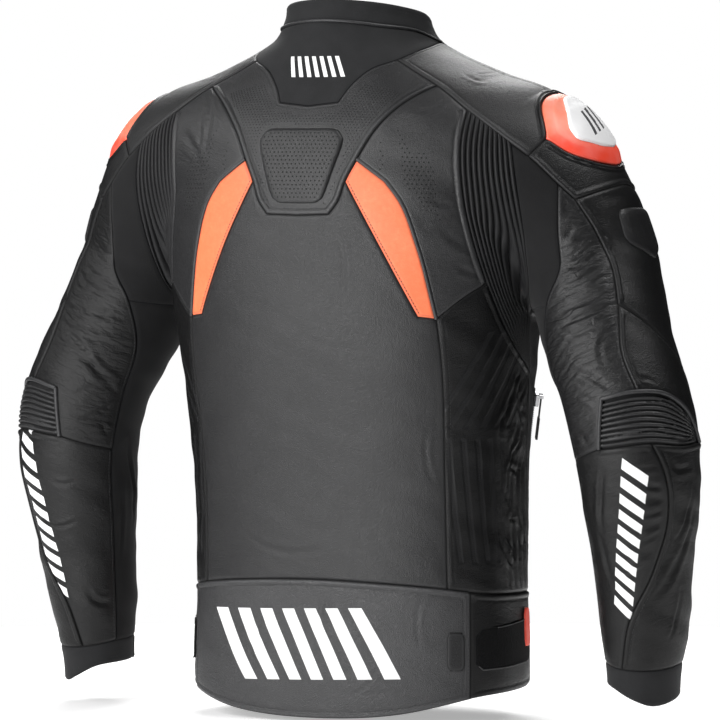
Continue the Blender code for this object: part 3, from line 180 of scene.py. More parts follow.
# Named places on the sleeve: millimetres down its centre line, degrees from outside to back.
SLEEVE_PLACES: dict[str, tuple[float, float]] = {
    "inner_arm": (318, 140), "inner_elbow": (366, 151), "inner_bend": (432, 154), "inner_forearm": (540, 152),
    "inner_cuff": (640, 150), "arm_high": (214, 53), "arm_mid": (260, 49), "arm_fork": (305, 50),
    "arm_low": (355, 58), "elbow_seam": (385, 55), "elbow_inner": (383, 87), "elbow_outer": (390, 30),
    "elbow_turn": (402, 8), "elbow_corner": (430, -14), "elbow_low_mid": (428, 20), "forearm_seam": (422, 52),
    "elbow_low_in": (420, 101), "fore_high": (444, 43), "fore_mid": (492, 39), "fore_turn": (540, 54),
    "fore_low": (597, 86), "fore_cuff": (643, 98), "cross_side": (353, -6), "cross_front": (376, -60),
    "cross_inner": (382, -112), "bend_front": (436, -62), "bend_inner": (438, -112), "front_arm": (300, -114),
    "front_forearm": (540, -112), "front_cuff": (640, -110), "cuff_side": (641, 0), "cuff_under": (640, 200),
    "cuff_under_front": (640, -160), "edge_under": (662, 200), "edge_under_front": (662, -160),
    "edge_rear": (666, 110), "edge_out": (680, 55), "edge_side": (676, 0), "edge_front": (668, -90),
}

# Each seam is one smooth curve through its places. Corners are where two seams meet.
SEAMS: dict[str, list[str]] = {seam: places.split() for seam, places in {
    "rim": "rim_back rim_rear rim_side rim_turn rim_front",
    "zip_rim": "rim_middle rim_front",
    "zip_collar": "rim_front neck_zip",
    "fold": "fold_back fold_rear fold_side fold_end",
    "neck": "fold_end neck_front neck_turn neck_zip",
    "patch_edge": "fold_end patch_rise seam_patch patch_turn patch_low patch_corner",
    "patch_bottom": "patch_bottom patch_corner",
    "shoulder": "seam_patch yoke_top rib_top_in rib_top_out slider_seam arm_top arm_seam",
    "yoke_side": "yoke_top yoke_hollow yoke_waist wedge_top wedge_heel yoke_low yoke_corner",
    "yoke_bottom": "yoke_bottom yoke_corner",
    "wedge_inner": "wedge_heel wedge_inner wedge_foot",
    "wedge_foot": "wedge_foot wedge_tip",
    "wedge_shoulder": "wedge_top wedge_knee",
    "wedge_outer": "wedge_knee wedge_bend wedge_outer wedge_tip",
    "princess": "wedge_tip princess_high princess_low princess_belt",
    "blade_low": "wedge_tip blade_low blade_end",
    "rib_inner": "rib_top_in rib_in_high rib_in_mid rib_in_low blade_end rib_in_foot rib_tip",
    "rib_outer": "rib_top_out rib_out_high rib_out_low rib_out_foot armpit",
    "side": "armpit rib_tip side_waist side_belt",
    "belt": "belt_middle belt_back princess_belt belt_pad side_belt belt_front belt_zip",
    "hem": "hem_middle hem_back hem_pad hem_side hem_front hem_zip",
    "pad_side": "belt_pad hem_pad",
    "band_side": "side_belt hem_side",
    "zip_edge": "neck_zip zip_chest zip_waist belt_zip hem_zip",
    "zip_foot": "zip_end hem_zip",
    "chest": "neck_front chest_neck chest_shoulder slider_front arm_front",
    "armhole": "slider_front armhole_high armhole_mid armhole_low armpit",
    "slider_tail_rear": "slider_rear slider_seam",
    "slider_tail_front": "slider_fore slider_front",
    "slider_neck": "slider_rear slider_neck_rear slider_neck slider_neck_front slider_fore",
    "slider_drop": "slider_rear slider_drop_rear slider_drop slider_drop_front slider_fore",
    "drop": "arm_seam drop_rear drop_side drop_front arm_front",
    "inner": "arm_top inner_high inner_mid inner_low inner_arm inner_elbow inner_bend inner_forearm "
        "inner_cuff",
    "underarm": "armpit inner_low",
    "arm": "arm_seam arm_high arm_mid arm_fork arm_low elbow_seam",
    "front": "armhole_low front_arm cross_inner bend_inner front_forearm front_cuff",
    "cross": "arm_fork cross_side cross_front cross_inner",
    "elbow_top": "elbow_inner elbow_seam elbow_outer elbow_turn elbow_corner",
    "elbow_low": "elbow_low_in forearm_seam elbow_low_mid elbow_corner bend_front bend_inner",
    "elbow_side": "elbow_inner elbow_low_in",
    "bend": "inner_bend elbow_low_in",
    "forearm": "forearm_seam fore_high fore_mid fore_turn fore_low fore_cuff",
    "cuff_top": "cuff_under inner_cuff fore_cuff cuff_side front_cuff cuff_under_front",
    "cuff_edge": "edge_under edge_rear edge_out edge_side edge_front edge_under_front",
    "cuff_join": "cuff_under edge_under",
}.items()}


class Stuff(Enum):
    """What a piece is made of."""

    LEATHER = "black leather"
    ORANGE_LEATHER = "orange leather"
    STRETCH = "black stretch cloth"
    NEOPRENE = "black foam-backed cloth"
    TAPE = "black woven tape"
    HOOKS = "black hook-and-loop tape"
    ORANGE_SHELL = "orange hard shell"
    WHITE_SHELL = "white hard shell"
    LINING = "mesh lining"


class Panel(NamedTuple):
    """A piece of cloth inside a loop of seams.

    Its path names a place, a seam, the next place and so on, and a bar starts a new stretch. A middle
    panel's path is half of its outline, from one place on the middle line to another.
    """

    name: str
    chart: str
    path: str
    stuff: Stuff = Stuff.LEATHER
    thickness: float = LEATHER
    rise: float = 0.0

    @property
    def loop(self) -> list[tuple[str, str, str]]:
        """The runs of the path: each one's seam, and the places where it starts and ends."""
        return [(names[k], names[k - 1], names[k + 1])
                for names in (part.split() for part in self.path.split("|"))
                for k in range(1, len(names) - 1, 2)]


MIDDLE_PANELS = (
    Panel("collar_band", "body", "rim_back rim rim_front zip_collar neck_zip neck fold_end fold fold_back",
          Stuff.NEOPRENE, NEOPRENE),
    Panel("neck_patch", "body", "fold_back fold fold_end patch_edge patch_corner patch_bottom patch_bottom",
          Stuff.NEOPRENE, NEOPRENE),
    Panel("yoke", "flat", "patch_bottom patch_bottom patch_corner patch_edge seam_patch shoulder yoke_top "
          "yoke_side yoke_corner yoke_bottom yoke_bottom"),
    Panel("back_panel", "body", "yoke_bottom yoke_bottom yoke_corner yoke_side wedge_heel wedge_inner "
          "wedge_foot wedge_foot wedge_tip princess princess_belt belt belt_middle"),
    Panel("lower_back_pad", "body", "belt_middle belt belt_pad pad_side hem_pad hem hem_middle",
          Stuff.LEATHER, PADDED, 0.0015),
    Panel("front_zip", "body", "rim_middle zip_rim rim_front zip_collar neck_zip zip_edge hem_zip "
          "zip_foot zip_end", Stuff.TAPE, TAPE),
)

SIDE_PANELS = (
    Panel("shoulder_panel", "flat", "seam_patch shoulder slider_seam slider_tail_rear slider_rear "
          "slider_neck slider_fore slider_tail_front slider_front chest neck_front neck fold_end patch_edge "
          "seam_patch"),
    Panel("shoulder_slider", "flat", "slider_rear slider_neck slider_fore slider_drop slider_rear",
          Stuff.ORANGE_SHELL, SLIDER_SHELL, SLIDER_RISE),
    Panel("shoulder_drop", "sleeve", "slider_rear slider_drop slider_fore slider_tail_front slider_front "
          "chest arm_front drop arm_seam shoulder slider_seam slider_tail_rear slider_rear"),
    Panel("blade_panel", "flat", "yoke_top yoke_side wedge_top wedge_shoulder wedge_knee wedge_outer "
          "wedge_tip blade_low blade_end rib_inner rib_top_in shoulder yoke_top"),
    Panel("back_wedge", "flat", "wedge_top yoke_side wedge_heel wedge_inner wedge_foot wedge_foot "
          "wedge_tip wedge_outer wedge_knee wedge_shoulder wedge_top", Stuff.ORANGE_LEATHER),
    Panel("back_ribs", "flat", "rib_top_in shoulder rib_top_out rib_outer armpit side rib_tip rib_inner "
          "rib_top_in", Stuff.STRETCH, STRETCH),
    Panel("underarm_stretch", "flat", "rib_top_out shoulder arm_top inner inner_low underarm armpit "
          "rib_outer rib_top_out", Stuff.STRETCH, STRETCH),
    Panel("flank_panel", "body", "wedge_tip blade_low blade_end rib_inner rib_tip side side_belt belt "
          "princess_belt princess wedge_tip"),
    Panel("hem_gusset", "body", "belt_pad belt side_belt band_side hem_side hem hem_pad pad_side belt_pad"),
    Panel("front_band", "body", "side_belt belt belt_zip zip_edge hem_zip hem hem_side band_side side_belt"),
    Panel("front_panel", "body", "neck_zip neck neck_front chest slider_front armhole armpit side "
          "side_belt belt belt_zip zip_edge neck_zip"),
    Panel("sleeve_top", "sleeve", "arm_seam drop arm_front chest slider_front armhole armhole_low front "
          "cross_inner cross arm_fork arm arm_seam"),
    Panel("sleeve_side", "sleeve", "arm_fork cross cross_inner front bend_inner elbow_low elbow_corner "
          "elbow_top elbow_seam arm arm_fork"),
    Panel("sleeve_back", "sleeve", "arm_top shoulder arm_seam arm elbow_seam elbow_top elbow_inner "
          "elbow_side elbow_low_in bend inner_bend inner arm_top"),
    Panel("elbow_ribs", "sleeve", "elbow_inner elbow_top elbow_corner elbow_low elbow_low_in elbow_side "
          "elbow_inner"),
    Panel("forearm_back", "sleeve", "inner_bend bend elbow_low_in elbow_low forearm_seam forearm "
          "fore_cuff cuff_top inner_cuff inner inner_bend"),
    Panel("forearm_side", "sleeve", "forearm_seam elbow_low bend_inner front front_cuff cuff_top "
          "fore_cuff forearm forearm_seam"),
    Panel("sleeve_inner", "sleeve", "armpit underarm inner_low inner inner_cuff cuff_top cuff_under | "
          "cuff_under_front cuff_top front_cuff front armhole_low armhole armpit", Stuff.STRETCH, STRETCH),
    Panel("cuff", "sleeve", "cuff_under cuff_top cuff_under_front | cuff_under cuff_join edge_under | "
          "edge_under_front cuff_edge edge_under cuff_join cuff_under", Stuff.NEOPRENE, NEOPRENE),
)


# The panels whose longer side lies across the hide or the roll of cloth.
CUT_ACROSS = ("collar_band", "underarm_stretch", "hem_gusset", "front_panel")


class Inlay(NamedTuple):
    """A piece that lies on one panel: its outline's corners across, back and up in millimetres."""

    name: str
    panel: str
    thickness: float
    outline: tuple[tuple[float, float, float], ...]


MIDDLE_INLAYS = (
    Inlay("spine_pad", "yoke", SPINE_PAD, (
        (0, 123, -67), (38, 122, -67), (47.5, 125, -79), (29, 135, -135), (20, 136, -140.5),
        (0, 136, -140.5))),
)

SIDE_INLAYS = (
    Inlay("slider_cap", "shoulder_slider", CAP_SHELL, (
        (225, 10, -39), (245, 39, -68), (255, 38, -80), (269, 12, -87), (272, -12, -87), (258, -36, -80),
        (238, -40, -62), (225, -20, -40))),
    Inlay("arm_pad", "sleeve_top", ARM_PAD, (
        (291, 22, -146), (301, -12, -143), (294, -40, -146), (309, -40, -186), (316, -14, -196),
        (302, 22, -178))),
    Inlay("hem_strap", "hem_gusset", TAPE, (
        (154, 54, -560), (171, 10, -556), (168, -40, -552), (168, -40, -594), (171, 10, -597),
        (154, 54, -599))),
    Inlay("pocket_zip", "front_panel", TAPE, (
        (172, -46, -324), (166, -56, -324), (144, -94, -452), (152, -86, -456))),
)

# The main folds of each panel, on the wearer's right (-1), left (1) or across the middle (0). Each has
# three places along it, and its half width in millimetres and its depth. A place is millimetres down a
# sleeve and degrees round it, or on the body degrees from the middle of the back and the height in
# millimetres. A middle panel counts degrees to the wearer's left.
CREASES: dict[tuple[str, int], tuple[tuple[float, ...], ...]] = {
    ("sleeve_back", -1): (
        (178, 73, 182, 68, 183, 61, 2.6, 0.9), (199, 80, 200, 75, 199, 70, 3.4, 1.3),
        (241, 88, 246, 72, 223, 56, 2.2, 0.6), (249, 89, 260, 74, 241, 53, 3, 1.1),
        (266, 92, 265, 76, 255, 56, 2.4, 0.8), (272, 94, 274, 76, 260, 52, 3.8, 1.2),
        (279, 96, 282, 75, 270, 53, 2, 0.5), (295, 100, 297, 83, 292, 63, 2.9, 0.95),
        (302, 102, 310, 86, 306, 64, 3.2, 0.7), (310, 105, 310, 80, 306, 56, 2.3, 1.05),
        (312, 106, 322, 91, 322, 71, 2.6, 0.65), (352, 108, 362, 92, 385, 72, 3, 0.8),
        (372, 112, 380, 98, 398, 82, 2.4, 0.7), (399, 130, 411, 117, 420, 105, 3.8, 0.8),
        (331, 60, 341, 73, 359, 76, 2.9, 0.5),
    ),
    ("forearm_back", -1): (
        (440, 74, 440, 61, 439, 44, 2.3, 0.7), (454, 61, 456, 52, 457, 40, 2.6, 1.05),
        (467, 65, 466, 52, 465, 39, 3.4, 0.65), (481, 67, 480, 53, 474, 39, 2.2, 0.9),
        (502, 72, 496, 58, 490, 42, 3, 1.3), (516, 74, 508, 60, 503, 48, 2.4, 0.6),
        (529, 88, 524, 71, 519, 56, 3.8, 1.1), (545, 91, 539, 76, 531, 64, 2, 0.8),
        (438, 100, 467, 106, 499, 108, 2.9, 1.2), (500, 112, 531, 108, 561, 101, 3.2, 0.5),
    ),
    ("forearm_side", -1): (
        (463, 5, 494, 15, 512, 28, 2.3, 0.95), (486, 1, 534, 20, 566, 47, 2.6, 0.7),
        (506, 7, 544, 32, 572, 59, 3.4, 1.05), (564, 16, 593, 22, 612, 33, 2.2, 0.65),
        (440, 34, 446, 26, 446, 9, 3, 0.9),
    ),
    ("sleeve_side", -1): (
        (375, 60, 375, 49, 382, 35, 2, 1.1),
    ),
    ("sleeve_back", 1): (
        (267, 63, 272, 82, 268, 104, 2.9, 0.44), (272, 56, 286, 82, 280, 113, 3.2, 0.66),
        (284, 44, 291, 75, 277, 106, 2.3, 0.28), (312, 53, 311, 88, 298, 124, 2.6, 0.52),
        (319, 49, 319, 87, 310, 125, 3.4, 0.39), (327, 55, 331, 92, 318, 140, 2.2, 0.58),
        (339, 76, 331, 107, 325, 141, 3, 0.36), (347, 85, 352, 114, 358, 151, 2.4, 0.5),
        (349, 93, 358, 124, 371, 150, 3.8, 0.72), (202, 65, 208, 78, 251, 95, 2, 0.33),
        (336, 71, 343, 98, 360, 121, 2.9, 0.61), (383, 107, 371, 119, 357, 143, 3.2, 0.44),
        (403, 118, 389, 134, 377, 145, 2.3, 0.66), (346, 124, 356, 121, 357, 138, 2.6, 0.28),
        (399, 136, 412, 145, 421, 152, 3.4, 0.52),
    ),
    ("forearm_back", 1): (
        (462, 91, 466, 101, 465, 113, 2.2, 0.7), (582, 114, 596, 125, 597, 144, 3, 1.05),
        (637, 123, 647, 134, 640, 149, 2.4, 0.65), (415, 101, 418, 119, 421, 136, 3.8, 0.9),
        (505, 70, 512, 88, 508, 108, 2, 1.3),
    ),
    ("forearm_side", 1): (
        (470, -20, 486, 2, 494, 24, 2.9, 0.6), (520, -30, 531, -8, 538, 18, 3.2, 1.1),
    ),
    ("sleeve_inner", 1): (
        (461, 160, 515, 164, 556, 160, 2.3, 0.8), (423, 173, 478, 184, 519, 190, 2.6, 1.2),
    ),
    ("sleeve_inner", -1): (
        (400, 165, 440, 172, 480, 168, 3.4, 0.5), (350, 176, 380, 186, 400, 196, 2.2, 0.95),
    ),
    ("blade_panel", -1): (
        (53, -133, 56, -141, 58, -150, 3, 0.7), (54, -150, 57, -158, 59, -166, 2.4, 1.05),
        (50, -162, 55, -176, 61, -182, 3.8, 0.65), (55, -197, 60, -203, 65, -197, 2.9, 1.3),
        (42, -57, 48, -63, 54, -59, 3.2, 0.6), (57, -234, 61, -224, 65, -219, 2.3, 1.1),
        (47, -137, 52, -141, 56, -137, 2.6, 0.8),
    ),
    ("blade_panel", 1): (
        (46, -39, 40, -51, 38, -68, 3.4, 1.2), (48, -43, 41, -58, 39, -78, 2.2, 0.5),
        (50, -48, 43, -62, 41, -88, 3, 0.95), (50, -58, 45, -78, 44, -98, 2.4, 0.7),
        (55, -78, 48, -88, 43, -106, 3.8, 1.05),
    ),
    ("flank_panel", -1): (
        (86, -303, 82, -314, 87, -330, 2, 0.65), (88, -309, 85, -326, 90, -345, 2.9, 0.9),
        (82, -318, 79, -335, 78, -353, 3.2, 1.3), (80, -337, 76, -348, 76, -363, 2.3, 0.6),
        (92, -317, 87, -334, 92, -355, 2.6, 1.1), (89, -354, 84, -377, 87, -394, 3.4, 0.8),
        (86, -384, 82, -403, 84, -421, 2.2, 1.2), (84, -403, 82, -423, 85, -438, 3, 0.5),
        (93, -355, 90, -394, 95, -435, 2.4, 0.95), (98, -375, 96, -415, 101, -455, 3.8, 0.7),
        (81, -452, 85, -472, 91, -489, 2, 1.05), (88, -438, 93, -464, 101, -485, 2.9, 0.65),
        (94, -434, 98, -457, 106, -481, 3.2, 0.9), (79, -471, 83, -487, 88, -499, 2.3, 1.3),
        (77, -341, 75, -358, 77, -379, 2.6, 0.6),
    ),
    ("flank_panel", 1): (
        (84, -310, 81, -330, 83, -352, 3.4, 1.1), (90, -335, 86, -358, 90, -384, 2.2, 0.8),
        (84, -372, 80, -396, 82, -420, 3, 1.2), (94, -380, 92, -410, 97, -440, 2.4, 0.5),
        (82, -440, 86, -463, 93, -482, 3.8, 0.95),
    ),
    ("shoulder_panel", -1): (
        (73, -20, 76, -26, 87, -23, 2, 0.7), (66, -20, 69, -39, 74, -47, 2.9, 1.05),
    ),
    ("shoulder_panel", 1): (
        (60, -14, 66, -24, 76, -30, 3.2, 0.65),
    ),
    ("lower_back_pad", 0): (
        (-47, -526, -44, -545, -45, -575, 2.3, 0.9), (-7, -522, -4, -544, -4, -571, 2.6, 1.3),
        (-11, -620, -23, -623, -36, -618, 3.4, 0.6), (-29, -593, -24, -612, -16, -626, 2.2, 1.1),
        (20, -550, 26, -575, 24, -600, 3, 0.8),
    ),
    ("back_panel", 0): (
        (-16, -167, -18, -198, -17, -236, 2.4, 1.2), (0, -264, -14, -279, -32, -273, 3.8, 0.5),
        (-48, -356, -47, -386, -51, -417, 2, 0.95), (-48, -293, -51, -332, -50, -371, 2.9, 0.7),
        (30, -470, 12, -485, -6, -478, 3.2, 1.05),
    ),
    ("front_panel", -1): (
        (120, -160, 131, -180, 140, -210, 2.3, 0.65), (112, -200, 124, -220, 136, -250, 2.6, 0.9),
        (118, -360, 132, -385, 150, -380, 3.4, 1.3), (110, -410, 126, -430, 146, -435, 2.2, 0.6),
        (124, -470, 138, -485, 156, -478, 3, 1.1), (150, -90, 158, -120, 162, -160, 2.4, 0.8),
    ),
    ("front_panel", 1): (
        (118, -150, 128, -175, 141, -200, 3.8, 1.2), (113, -215, 127, -235, 138, -262, 2, 0.5),
        (116, -350, 130, -372, 148, -370, 2.9, 0.95), (112, -400, 128, -424, 150, -420, 3.2, 0.7),
        (120, -462, 136, -478, 158, -470, 2.3, 1.05), (148, -80, 157, -115, 160, -150, 2.6, 0.65),
    ),
}


def smooth(keys: Numbers, values: Numbers, at: Numbers) -> Numbers:
    """A smooth curve through a table's rows, which stops level with its first and last row.

    Args:
        keys: where the rows lie, rising.
        values: one row of numbers for each key.
        at: where the curve is wanted.

    Returns:
        The curve's values there.
    """
    slopes = np.gradient(values, keys, axis=0)
    at = np.clip(at, keys[0], keys[-1])
    row = np.clip(np.searchsorted(keys, at) - 1, 0, len(keys) - 2)
    step = keys[row + 1] - keys[row]
    part = (at - keys[row]) / step
    if values.ndim == 2:
        step, part = step[:, None], part[:, None]
    rise = values[row + 1] - values[row]
    start, end = slopes[row] * step, slopes[row + 1] * step
    bend = 3 * rise - 2 * start - end + part * (start + end - 2 * rise)
    return values[row] + part * (start + part * bend)


def run_along(points: Numbers) -> Numbers:
    """The distance from the first point to each point of a line."""
    return np.concatenate([[0.0], np.cumsum(np.linalg.norm(np.diff(points, axis=0), axis=1))])


def unit(vectors: Numbers) -> Numbers:
    """Vectors of length one."""
    return vectors / np.maximum(np.linalg.norm(vectors, axis=-1, keepdims=True), 1e-12)


def eased(values: Numbers) -> Numbers:
    """Numbers held between 0 and 1, with a soft start and end."""
    held = np.clip(values, 0.0, 1.0)
    return held * held * (3.0 - 2.0 * held)


def mirrored(points: Numbers) -> Numbers:
    """The points on the other side of the jacket's middle."""
    return points * np.array([-1.0, 1.0, 1.0])


class Form:
    """The jacket's outer shape: negative inside, zero on it, for points on either side."""

    def __init__(self) -> None:
        """Lay out the body's and the sleeve's tables as smooth curves."""
        body = BODY[::-1]
        self.levels = np.linspace(body[0, 0], body[-1, 0], 400)
        self.body = [smooth(body[:, 0], body[:, column], self.levels) for column in range(1, 5)]
        run = run_along(SLEEVE[:, :3])
        self.along = np.linspace(0.0, run[-1], 241)
        self.centre = smooth(run, SLEEVE[:, :3], self.along)
        self.halves = smooth(run, SLEEVE[:, 3:], self.along)
        self.down = unit(np.gradient(self.centre, self.along, axis=0))
        self.outside = unit(np.cross(self.down, [0.0, 1.0, 0.0]))
        self.rear = np.cross(self.outside, self.down)

    def on_sleeve(self, table: Numbers, along: Numbers) -> Numbers:
        """A sleeve table's values at these distances down the sleeve."""
        return np.stack([np.interp(along, self.along, column) for column in table.T], axis=-1)

    def down_sleeve(self, points: Numbers) -> Numbers:
        """How far down the sleeve each point lies, for points on the +X side."""
        coarse = self.centre[::6]
        square = (coarse ** 2).sum(axis=1)[None] - 2.0 * points @ coarse.T
        along = self.along[::6][square.argmin(axis=1)]
        for _ in range(4):
            gap = points - self.on_sleeve(self.centre, along)
            step = (gap * self.on_sleeve(self.down, along)).sum(axis=1)
            along = np.clip(along + step, 0.0, self.along[-1])
        return along

    def off_centre(self, points: Numbers) -> tuple[Numbers, ...]:
        """How far down the nearer sleeve each point is, and how far out, back and on from there."""
        points = np.column_stack([np.abs(points[:, 0]), points[:, 1:]])
        along = self.down_sleeve(points)
        gap = points - self.on_sleeve(self.centre, along)
        return along, *((gap * self.on_sleeve(way, along)).sum(axis=1)
                        for way in (self.outside, self.rear, self.down))

    def sleeve_chart(self, points: Numbers) -> tuple[Numbers, Numbers]:
        """Each point's distance down the sleeve and its angle from the outside to the back."""
        along, across, deep, _ = self.off_centre(points)
        return along, np.arctan2(deep, across)

    def body_value(self, points: Numbers) -> Numbers:
        """How far outside the body and collar each point is, roughly."""
        half, back, front, power = [np.interp(points[:, 2], self.levels, c) for c in self.body]
        depth = np.where(points[:, 1] > 0.0, back, front)
        across = (np.abs(points[:, 0]) / half) ** power
        ring = (across + (np.abs(points[:, 1]) / depth) ** power + 1e-12) ** (1.0 / power)
        return (ring - 1.0) * np.minimum(half, depth)

    def sleeve_value(self, points: Numbers) -> Numbers:
        """How far outside the nearer sleeve each point is, roughly."""
        along, across, deep, on = self.off_centre(points)
        halves = self.on_sleeve(self.halves, along)
        least = halves.min(axis=1)
        across, deep, on = across / halves[:, 0], deep / halves[:, 1], on / least
        return (np.sqrt(across ** 2 + deep ** 2 + on ** 2 + 1e-12) - 1.0) * least

    def value(self, points: Numbers) -> Numbers:
        """How far outside the form each point is, with the sleeves blended into the body."""
        body, sleeve = self.body_value(points), self.sleeve_value(points)
        low = np.clip((BLEND_FROM - points[:, 2]) / (BLEND_FROM - BLEND_TO), 0.0, 1.0)
        blend = BLEND_TOP + (BLEND_LOW - BLEND_TOP) * low * low * (3.0 - 2.0 * low)
        near = np.maximum(blend - np.abs(body - sleeve), 0.0) / blend
        return np.minimum(body, sleeve) - near * near * blend / 4.0

    def slope(self, points: Numbers, reach: float = 0.0005) -> Numbers:
        """The value's slope at each point, measured across a short reach."""
        steps = np.eye(3) * reach
        rises = [self.value(points + step) - self.value(points - step) for step in steps]
        return np.stack(rises, axis=1) / (2.0 * reach)

    def normal(self, points: Numbers) -> Numbers:
        """The way out of the cloth at each point."""
        return unit(self.slope(points, 0.008))

    def snap(self, points: Numbers, rounds: int = 6, share: float = 1.0) -> Numbers:
        """The points moved straight onto the form."""
        for _ in range(rounds):
            slope = self.slope(points)
            size = np.maximum((slope ** 2).sum(axis=1), 0.05)
            points = points - slope * (share * self.value(points) / size)[:, None]
        return points

    def sleeve_points(self, along: Numbers, around: Numbers) -> Numbers:
        """Points on the +X sleeve from their distances down it and their angles in radians."""
        halves = self.on_sleeve(self.halves, along)
        reach = 1.0 / np.hypot(np.cos(around) / halves[:, 0], np.sin(around) / halves[:, 1])
        way = self.on_sleeve(self.outside, along) * np.cos(around)[:, None]
        way = way + self.on_sleeve(self.rear, along) * np.sin(around)[:, None]
        return self.on_sleeve(self.centre, along) + way * reach[:, None]

    def body_points(self, turn: Numbers, height: Numbers) -> Numbers:
        """Points on the body from their angles from the middle of the back, in radians."""
        rough = np.column_stack([0.15 * np.sin(turn), 0.11 * np.cos(turn), height])
        return self.snap(rough, 8)


FORM = Form()


class Pattern:
    """The named places and the seams between them, on the +X side."""

    def __init__(self) -> None:
        """Lay every named place down on the form."""
        self.places = {name: np.array(place) / 1000.0 for name, place in BODY_PLACES.items()}
        rows = np.array([(along / 1000.0, math.radians(around)) for along, around in SLEEVE_PLACES.values()])
        self.places.update(zip(SLEEVE_PLACES, FORM.sleeve_points(rows[:, 0], rows[:, 1])))
        names = list(self.places)
        snapped = FORM.snap(np.array([self.places[name] for name in names]))
        for name, point in zip(names, snapped):
            self.places[name] = np.where(self.places[name] == 0.0, 0.0, point)
        self.sampled: dict[tuple[str, float], tuple[Numbers, list[int]]] = {}

    def sample(self, seam: str, spacing: float) -> tuple[Numbers, list[int]]:
        """A seam's points, and where its named places fall in them."""
        if (seam, spacing) in self.sampled:
            return self.sampled[(seam, spacing)]
        names = SEAMS[seam]
        knots = np.array([self.places[name] for name in names])
        lead = 0
        if knots[0, 0] == 0.0 and len(knots) > 2:
            knots = np.concatenate([mirrored(knots[:0:-1]), knots])
            lead = len(names) - 1
        run = run_along(knots)
        at, stops = [], []
        for start, end in zip(run[lead:-1], run[lead + 1:]):
            stops.append(len(at))
            count = max(1, math.ceil((end - start) / spacing))
            at.extend(np.linspace(start, end, count, endpoint=False))
        stops.append(len(at))
        at.append(run[-1])
        points = FORM.snap(smooth(run, knots, np.array(at)))
        points[stops] = [self.places[name] for name in names]
        self.sampled[(seam, spacing)] = (points, stops)
        return points, stops

    def run(self, seam: str, start: str, end: str, spacing: float, whole: bool = False) -> Numbers:
        """The points of a seam from one of its places to another.

        Args:
            seam: the seam's name.
            start: the place where the run starts.
            end: the place where it ends.
            spacing: about how far apart its points are.
            whole: whether the last point is kept.

        Returns:
            The run's points, on the +X side.
        """
        names = SEAMS[seam]
        points, stops = self.sample(seam, spacing)
        first, last = stops[names.index(start)], stops[names.index(end)]
        if first < last:
            return points[first:last + int(whole)]
        return points[last + 1 - int(whole):first + 1][::-1]


PATTERN = Pattern()


def flat_chart(points: Numbers) -> Callable[[Numbers], Numbers]:
    """The points seen square to the plane that suits them best, right-handed from outside."""
    middle = points.mean(axis=0)
    axes = np.linalg.svd(points - middle)[2]
    outward = FORM.normal(FORM.snap(middle[None]))[0]
    if np.dot(np.cross(axes[0], axes[1]), outward) < 0.0:
        axes[1] = -axes[1]
    return lambda p: np.column_stack([(p - middle) @ axes[0], (p - middle) @ axes[1]])


def body_chart(points: Numbers) -> Callable[[Numbers], Numbers]:
    """Round the body and up it, with the turn kept continuous along a line of points."""
    away = math.pi if points[:, 1].mean() < 0.0 else 0.0

    def chart(p: Numbers) -> Numbers:
        """The flat places of a line of points."""
        turn = np.unwrap(np.arctan2(p[:, 0], p[:, 1]))
        turn = turn - 2.0 * math.pi * np.round((turn[0] - away * np.sign(p[0, 0])) / (2 * math.pi))
        return np.column_stack([-turn * BODY_RADIUS, p[:, 2]])
    return chart


def sleeve_chart(points: Numbers) -> Callable[[Numbers], Numbers]:
    """Down the sleeve and round it, with the angle kept continuous along a line of points."""
    reach = math.copysign(SLEEVE_RADIUS, points[:, 0].mean())

    def chart(p: Numbers) -> Numbers:
        """The flat places of a line of points."""
        along, around = FORM.sleeve_chart(p)
        return np.column_stack([along, np.unwrap(around) * reach])
    return chart


CHARTS = {"flat": flat_chart, "body": body_chart, "sleeve": sleeve_chart}


def signed_area(flat: Numbers) -> float:
    """A closed outline's area, positive when it runs anticlockwise."""
    after = np.roll(flat, -1, axis=0)
    return 0.5 * float((flat[:, 0] * after[:, 1] - after[:, 0] * flat[:, 1]).sum())


def batches(places: Numbers) -> list[Numbers]:
    """Flat places in batches of about 2000, which keep the sums on them small."""
    return np.array_split(places, max(1, len(places) // 2000))


def inside(ring: Numbers, places: Numbers) -> Numbers:
    """Which flat places lie inside a closed outline."""
    after = np.roll(ring, -1, axis=0)
    rise = after[:, 1] - ring[:, 1]
    lean = (after[:, 0] - ring[:, 0]) / np.where(rise == 0.0, 1e-12, rise)
    found = []
    for part in batches(places):
        x, y = part[:, :1], part[:, 1:]
        crosses = (ring[:, 1] > y) != (after[:, 1] > y)
        found.append((crosses & (x < ring[:, 0] + (y - ring[:, 1]) * lean)).sum(axis=1) % 2 == 1)
    return np.concatenate(found) if found else np.zeros(0, bool)


class Nearest(NamedTuple):
    """The nearest stretch of an outline to each flat place: how far, which one, how far along."""

    gap: Numbers
    stretch: Numbers
    part: Numbers


def nearest_on(ring: Numbers, places: Numbers) -> Nearest:
    """Find the nearest stretch of a closed outline to each flat place."""
    way = np.roll(ring, -1, axis=0) - ring
    size = (way ** 2).sum(axis=1) + 1e-12
    base = (ring * way).sum(axis=1)
    gaps, stretches, parts = [], [], []
    for some in batches(places):
        part = np.clip((some @ way.T - base) / size, 0.0, 1.0)
        over = some[:, :1] - ring[:, 0] - part * way[:, 0]
        up = some[:, 1:] - ring[:, 1] - part * way[:, 1]
        square = over * over + up * up
        stretch = square.argmin(axis=1)
        rows = np.arange(len(some))
        gaps.append(np.sqrt(square[rows, stretch]))
        stretches.append(stretch)
        parts.append(part[rows, stretch])
    return Nearest(np.concatenate(gaps), np.concatenate(stretches), np.concatenate(parts))


